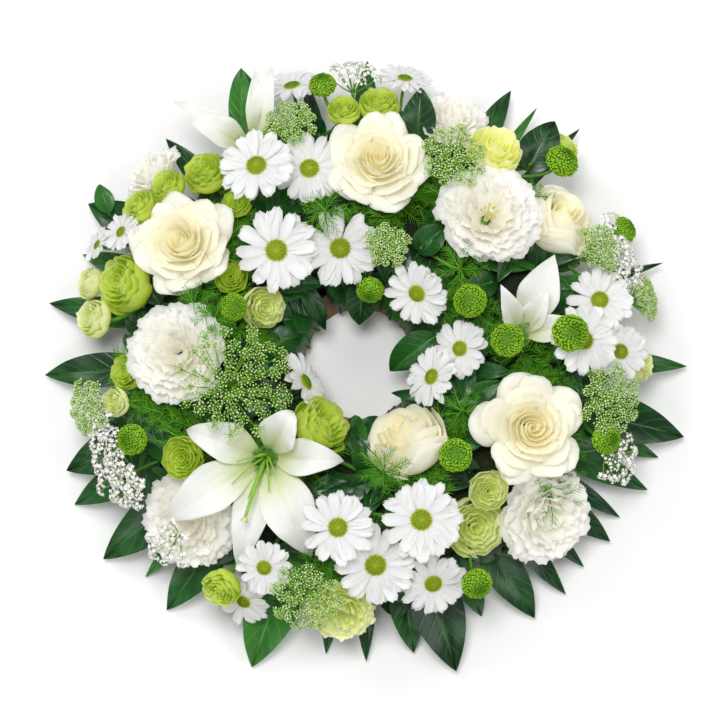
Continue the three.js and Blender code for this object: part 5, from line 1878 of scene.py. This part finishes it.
# Heads: where each stands, seen from above, and how far it is across, in millimetres.
PLANTING = (
    Spray("lily_open", "white_petals", (
        lily(at=(-74, -82, 76), petals=(
            ((-157, -134, 72), 38, 30, 0.4),
            ((-97, -177, 66), 30, 28, 0.4),
            ((-37, -163, 74), 42, 28, 0.4),
            ((-9, -86, 96), 30, 22, 0.4),
            ((-50, -46, 118), 32, 22, 0.4),
            ((-140, -60, 92), 32, 24, 0.4),
        )),
    )),
    Spray("rose_left", "ivory_petals", (rose((-142, 87), 86, spin=0.3),)),
    Spray("rose_top", "ivory_petals", (rose((14, 152), 86, lift=4, spin=1),)),
    Spray("rose_right", "ivory_petals", (rose((134, -61), 90, lift=4, spin=0.6),)),
    Spray("lisianthus_centre_right", "white_petals", (open_lisianthus((102, 108), 80, lift=6, spin=0.2),)),
    Spray("rose_inner", "ivory_petals", (half_rose((31, -60), 61, lift=6, spin=0.5, lean=(-0.25, 0.35)),)),
    Spray("rose_far_right", "ivory_petals", (half_rose((164, 114), 58, lift=-9, spin=1.2, lean=(0.2, 0.3)),)),
    Spray("lime_inner", "lime_blooms", (
        goblet((-25, -54), 46, lift=10, lean=(0.3, -0.25)),
        frond((18, -94), 40, lift=8),
        leaf((-22, -112, 66), (12, -100, 74), 24),
    )),
    Spray("lily_half_open", "white_petals", (
        lily(at=(127, 13, 80), petals=(
            ((154, 78, 92), 34, 4, 0.6),
            ((110, 50, 114), 19, 6, 0.7),
            ((147, 47, 112), 21, 8, 0.7),
            ((171, 23, 92), 22, 16, 0.6),
        )),
    )),
    Spray("lisianthus_left", "white_petals", (lisianthus((-146, -2), 76, spin=0.9, lean=(-0.15, 0)),)),
    Spray("lisianthus_bottom_right", "white_petals", (lisianthus((150, -129), 78, lift=-18, spin=0.4),)),
    Spray("daisies_upper_left", "white_petals", (daisy((-66, 79), 66), daisy((-16, 84), 64, lift=-10))),
    Spray("daisies_bottom", "white_petals", (
        daisy((47, -132), 64, lift=5),
        daisy((12, -166), 64, lift=-9),
        daisy((-17, -138), 58, lift=6),
    )),
    Spray("daisies_inner_right", "white_petals", (
        daisy((46, 48), 54),
        daisy((58, -19), 50, lift=-2),
        daisy((80, 4), 48, lift=-17),
    )),
    Spray("daisies_top_left", "white_petals", (daisy((-81, 145), 62, lift=3), daisy((-40, 146), 60, lift=-16))),
    Spray("daisies_right", "white_petals", root=(152, 12), heads=(
        daisy((174, 8), 58, lift=2),
        daisy((190, 42), 54, lift=-12, lean=(-0.5, 0)),
        daisy((206, 2), 48, lift=-13, lean=(-0.3, 0)),
    )),
    Spray("daisy_hole_left", "white_petals", (daisy((-45, -23), 53, lift=4, lean=(0.3, 0.1)),)),
    Spray("lime_left", "lime_blooms", (
        goblet((-194, 58), 46, lift=-15, lean=(-0.2, -0.1)),
        goblet((-222, 62), 24, tint=Tint.PALE, lift=-18),
        goblet((-216, 29), 30, tint=Tint.PALE, lift=-1),
    )),
    Spray("lime_upper_left", "lime_blooms", (
        goblet((-125, 146), 34, lift=-3),
        goblet((-156, 137), 28, lift=-6),
        goblet((-180, 121), 28, lift=-6),
        goblet((-98, 119), 22, lift=-7),
    )),
    Spray("lime_inner_left", "lime_blooms", (
        goblet((-74, 35), 34, tint=Tint.PALE, lift=-6),
        goblet((-102, 60), 26, lift=-12),
        button((-99, 34), 23),
    )),
    Spray("lime_lower_left", "lime_blooms", (
        goblet((-139, -84), 32),
        goblet((-187, -15), 27, lift=-15),
        goblet((-195, -40), 22, tint=Tint.PALE),
        button((-178, -69), 26),
    )),
    Spray("lime_bottom_right", "lime_blooms", (
        goblet((100, -110), 30, tint=Tint.PALE, lift=2),
        goblet((91, -138), 48, tint=Tint.PALE, lift=-18),
        button((91, -181), 26),
    )),
    Spray("lime_bottom", "lime_blooms", (lisianthus((-15, -205), 54, tint=Tint.PALE, lift=-21, spin=0.5),)),
    Spray("lime_bottom_left", "lime_blooms", (goblet((-111, -188), 30),)),
    Spray("lime_top_right", "lime_blooms", (
        goblet((110, 166), 42, tint=Tint.YELLOW),
        button((162, 156), 29),
        goblet((168, 176), 27, lift=-9),
        button((212, 102), 24),
        leaf((134, 150, 62), (158, 192, 62), 32),
    )),
    Spray("lime_top", "lime_blooms", (
        goblet((16, 204), 32, lift=-3),
        goblet((-13, 197), 26),
        button((-30, 217), 24),
        leaf((46, 172, 66), (49, 216, 74), 28),
        leaf((-30, 176, 60), (-54, 204, 66), 19),
    )),
    Spray("lime_right", "lime_blooms", root=(146, -12), heads=(
        button((162, 11), 31, lift=24),
        button((193, -68), 26),
        leaf((138, -18, 67), (110, -22, 74), 22),
        goblet((229, -6), 27, tint=Tint.PALE, lift=-15),
    )),
    Spray("buttons_right", "green_buttons", root=(100, 0), heads=(
        button((114, 6), 28, lift=16),
        button((86, 39), 28, lift=4),
    )),
    Spray("lisianthus_bottom_left", "white_petals", (lisianthus((-138, -134), 76, lift=-18, spin=0.1),)),
    Spray("lisianthus_top", "white_petals", (lisianthus((77, 196), 60, lift=-21, spin=0.7),)),
    Spray("lisianthus_upper_left", "white_petals", (lisianthus((-172, 154), 50, lift=-15, spin=0.4),)),
    Spray("lily_top_left", "white_petals", (
        lily(at=(-86, 168, 62), petals=(
            ((-153, 208, 70), 17, 12, 0.7),
            ((-139, 188, 86), 25, 14, 0.7),
            ((-84, 233, 74), 13, 10, 0.7),
            ((-70, 232, 86), 21, 10, 0.7),
        )),
    )),
    Spray("daisies_top", "white_petals", (daisy((-55, 221), 52, lift=-21),)),
    Spray("daisy_top_right", "white_petals", (daisy((36, 224), 46, lift=-8),)),
    Spray("daisies_lower_left", "white_petals", (daisy((-74, -168), 46, lift=-2), daisy((-92, -194), 44, lift=-32))),
    Spray("daisy_bottom_right", "white_petals", (daisy((57, -180), 54, lift=-20),)),
    Spray("daisies_far_left", "white_petals", (daisy((-190, 98), 36, lift=-10), daisy((-212, 92), 32, lift=-21))),
    Spray("umbel_front", "umbels_and_fronds", (
        umbel((-96, -26), 88, lift=14),
        leaf((-104, -34, 66), (-66, -40, 74), 28),
    )),
    Spray("umbel_right", "umbels_and_fronds", root=(152, -42), heads=(umbel((196, -38), 54, lift=4),)),
    Spray("umbel_top", "umbels_and_fronds", (
        umbel((74, 152), 50, lift=9),
        frond((78, 64), 44),
        leaf((46, 84, 66), (70, 104, 74), 24),
        leaf((108, 60, 66), (80, 48, 74), 22),
    )),
    Spray("umbel_upper_left", "umbels_and_fronds", (umbel((-56, 183), 40, lift=-4),)),
    Spray("umbel_centre", "umbels_and_fronds", (
        frond((-27, 108), 40, lift=12),
        umbel((22, 84), 32),
        button((8, 52), 24, lift=-2),
        leaf((-4, 116, 66), (-40, 116, 74), 20),
    )),
    Spray("umbel_bottom", "umbels_and_fronds", (umbel((-42, -192), 54, lift=3),)),
    Spray("umbel_far_right", "umbels_and_fronds", (
        umbel((190, 83), 38),
        umbel((228, 48), 34, lift=-6),
        filler((206, 80), 36, lift=-4),
    )),
    Spray("umbel_far_left", "umbels_and_fronds", root=(-146, -22), heads=(umbel((-214, -42), 42, lift=-4),)),
    Spray("fronds_bottom", "umbels_and_fronds", (
        frond((80, -46), 36, lift=-12),
        button((74, -82), 28, lift=2),
        leaf((92, -30, 66), (72, -62, 74), 22),
        leaf((90, -92, 66), (58, -104, 74), 22),
    )),
    Spray("fronds_left", "umbels_and_fronds", (
        frond((-130, 36), 38, lift=-8),
        frond((-114, 24), 34),
        leaf((-110, 8, 66), (-76, -6, 74), 26),
        leaf((-122, 44, 66), (-98, 14, 74), 24),
    )),
    Spray("filler_left", "filler_florets", (filler((-190, -98), 46, lift=-4),)),
    Spray("filler_top", "filler_florets", (filler((-6, 228), 40, lift=-6),)),
    Spray("leaves_hole_top", "leaves", root=(-16, 84), heads=(
        leaf((-45, 58, 60), (-27, 22, 40), 15),
        leaf((3, 62, 56), (-1, 26, 38), 26),
    )),
    Spray("leaves_hole_left", "leaves", root=(-88, 14), heads=(leaf((-74, 8, 62), (-45, 19, 50), 24),)),
    Spray("leaves_hole_right", "leaves", root=(86, 6), heads=(
        leaf((60, 16, 60), (23, -11, 44), 28),
        leaf((58, -34, 56), (24, -27, 36), 10),
    )),
)
GARLANDS = (
    Garland("leaves_top", (
        ((-156, 180, 21), 18), ((-96, 238, 25), 19), ((-44, 230, 17), 12), ((6, 246, 19), 18),
        ((122, 220, 23), 20), ((142, 204, 27), 9), ((178, 190, 21), 12),
    )),
    Garland("leaves_right", (
        ((243, 80, 15), 9), ((263, -3, 17), 18), ((259, -60, 19), 34), ((240, -76, 9), 18),
        ((229, -102, 15), 22), ((208, -124, 9), 14), ((199, -143, 13), 22),
    )),
    Garland("leaves_bottom_right", (
        ((178, -163, 9), 16), ((163, -184, 7), 18), ((139, -204, 13), 28), ((97, -203, 7), 20),
        ((76, -245, 15), 38), ((43, -232, 11), 24),
    )),
    Garland("leaves_bottom_left", (
        ((5, -237, 9), 14), ((-27, -232, 7), 14), ((-86, -243, 13), 38), ((-154, -198, 13), 30),
        ((-172, -172, 7), 14), ((-204, -157, 13), 34),
    )),
    Garland("leaves_left", (
        ((-229, -114, 11), 28), ((-234, -87, 21), 34), ((-253, -10, 15), 26), ((-250, 48, 13), 22),
        ((-224, 88, 9), 20), ((-219, 128, 21), 34),
    )),
)


@dataclass(frozen=True)
class Studio:
    """The pale floor, the soft lights and the camera that looks down at the wreath as the photograph does."""

    elevation: float = math.radians(84.0)
    distance: float = 1.75
    aim: tuple[float, float, float] = (-0.005, -0.0035, 0.06)
    view_width: float = 0.576  # what the frame takes in at the aim
    sensor: float = 36.0
    floor_half: float = 30.0
    floor_colour: Colour = (0.92, 0.92, 0.92)
    floor_roughness: float = 0.9
    surround: float = 0.28
    lit: Point = (0.0, 0.0, 0.05)  # what the lights point at
    # Each light's name, place, width in metres and power in watts.
    lights: tuple[tuple[str, Point, float, float], ...] = (
        ("overhead", (-0.2, 0.3, 2.3), 0.8, 31.0),
        ("left", (-1.4, 1.4, 1.9), 1.2, 19.0),
        ("right", (1.5, -0.3, 1.8), 1.4, 13.0),
        ("front", (-0.6, -1.6, 1.8), 1.2, 7.0),
    )

    def build_floor(self) -> None:
        """Makes the floor."""
        mesh = bpy.data.meshes.new("floor")
        half = self.floor_half
        mesh.from_pydata([(-half, -half, 0), (half, -half, 0), (half, half, 0), (-half, half, 0)], [], [(0, 1, 2, 3)])
        made = bpy.data.materials.new("pale_floor")
        made.use_nodes = True
        surface = made.node_tree.nodes["Principled BSDF"]
        surface.inputs["Base Color"].default_value = (*self.floor_colour, 1.0)
        surface.inputs["Roughness"].default_value = self.floor_roughness
        mesh.materials.append(made)
        floor = bpy.data.objects.new("floor", mesh)
        bpy.context.scene.collection.objects.link(floor)

    def build_lights(self) -> None:
        """Makes a soft light overhead, others to the sides that the leaves mirror, and a dim even surround."""
        for name, place, size, energy in self.lights:
            light = bpy.data.lights.new(name, "AREA")
            light.shape = "DISK"
            light.size = size
            light.energy = energy
            lamp = bpy.data.objects.new(name, light)
            lamp.location = place
            way = np.array(self.lit) - np.array(place)
            lamp.rotation_mode = "QUATERNION"
            lamp.rotation_quaternion = Vector(way).to_track_quat("-Z", "Y")
            bpy.context.scene.collection.objects.link(lamp)
        world = bpy.data.worlds.new("surround")
        world.use_nodes = True
        world.node_tree.nodes["Background"].inputs["Color"].default_value = (1.0, 1.0, 1.0, 1.0)
        world.node_tree.nodes["Background"].inputs["Strength"].default_value = self.surround
        bpy.context.scene.world = world
        bpy.context.scene.view_settings.view_transform = "Standard"

    def build_camera(self) -> None:
        """Makes the camera."""
        camera = bpy.data.cameras.new("camera")
        camera.sensor_width = self.sensor
        camera.lens = camera.sensor_width * self.distance / self.view_width
        eye = bpy.data.objects.new("camera", camera)
        back = Vector((0.0, -math.cos(self.elevation), math.sin(self.elevation)))
        eye.location = Vector(self.aim) + back * self.distance
        eye.rotation_mode = "QUATERNION"
        eye.rotation_quaternion = (-back).to_track_quat("-Z", "Y")
        bpy.context.scene.collection.objects.link(eye)
        bpy.context.scene.camera = eye

    def build(self) -> None:
        """Makes the whole studio."""
        self.build_floor()
        self.build_lights()
        self.build_camera()


def main() -> None:
    """Builds every piece of the wreath and the studio round it."""
    logging.basicConfig(level=logging.INFO, format="%(name)s %(message)s")
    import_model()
    base = RingBase()
    base.build_tray()
    base.build_foam()
    for spray in PLANTING:
        spray.build()
    for garland in GARLANDS:
        garland.build()
    Bedding().build()
    Studio().build()


if __name__ == "__main__":
    main()
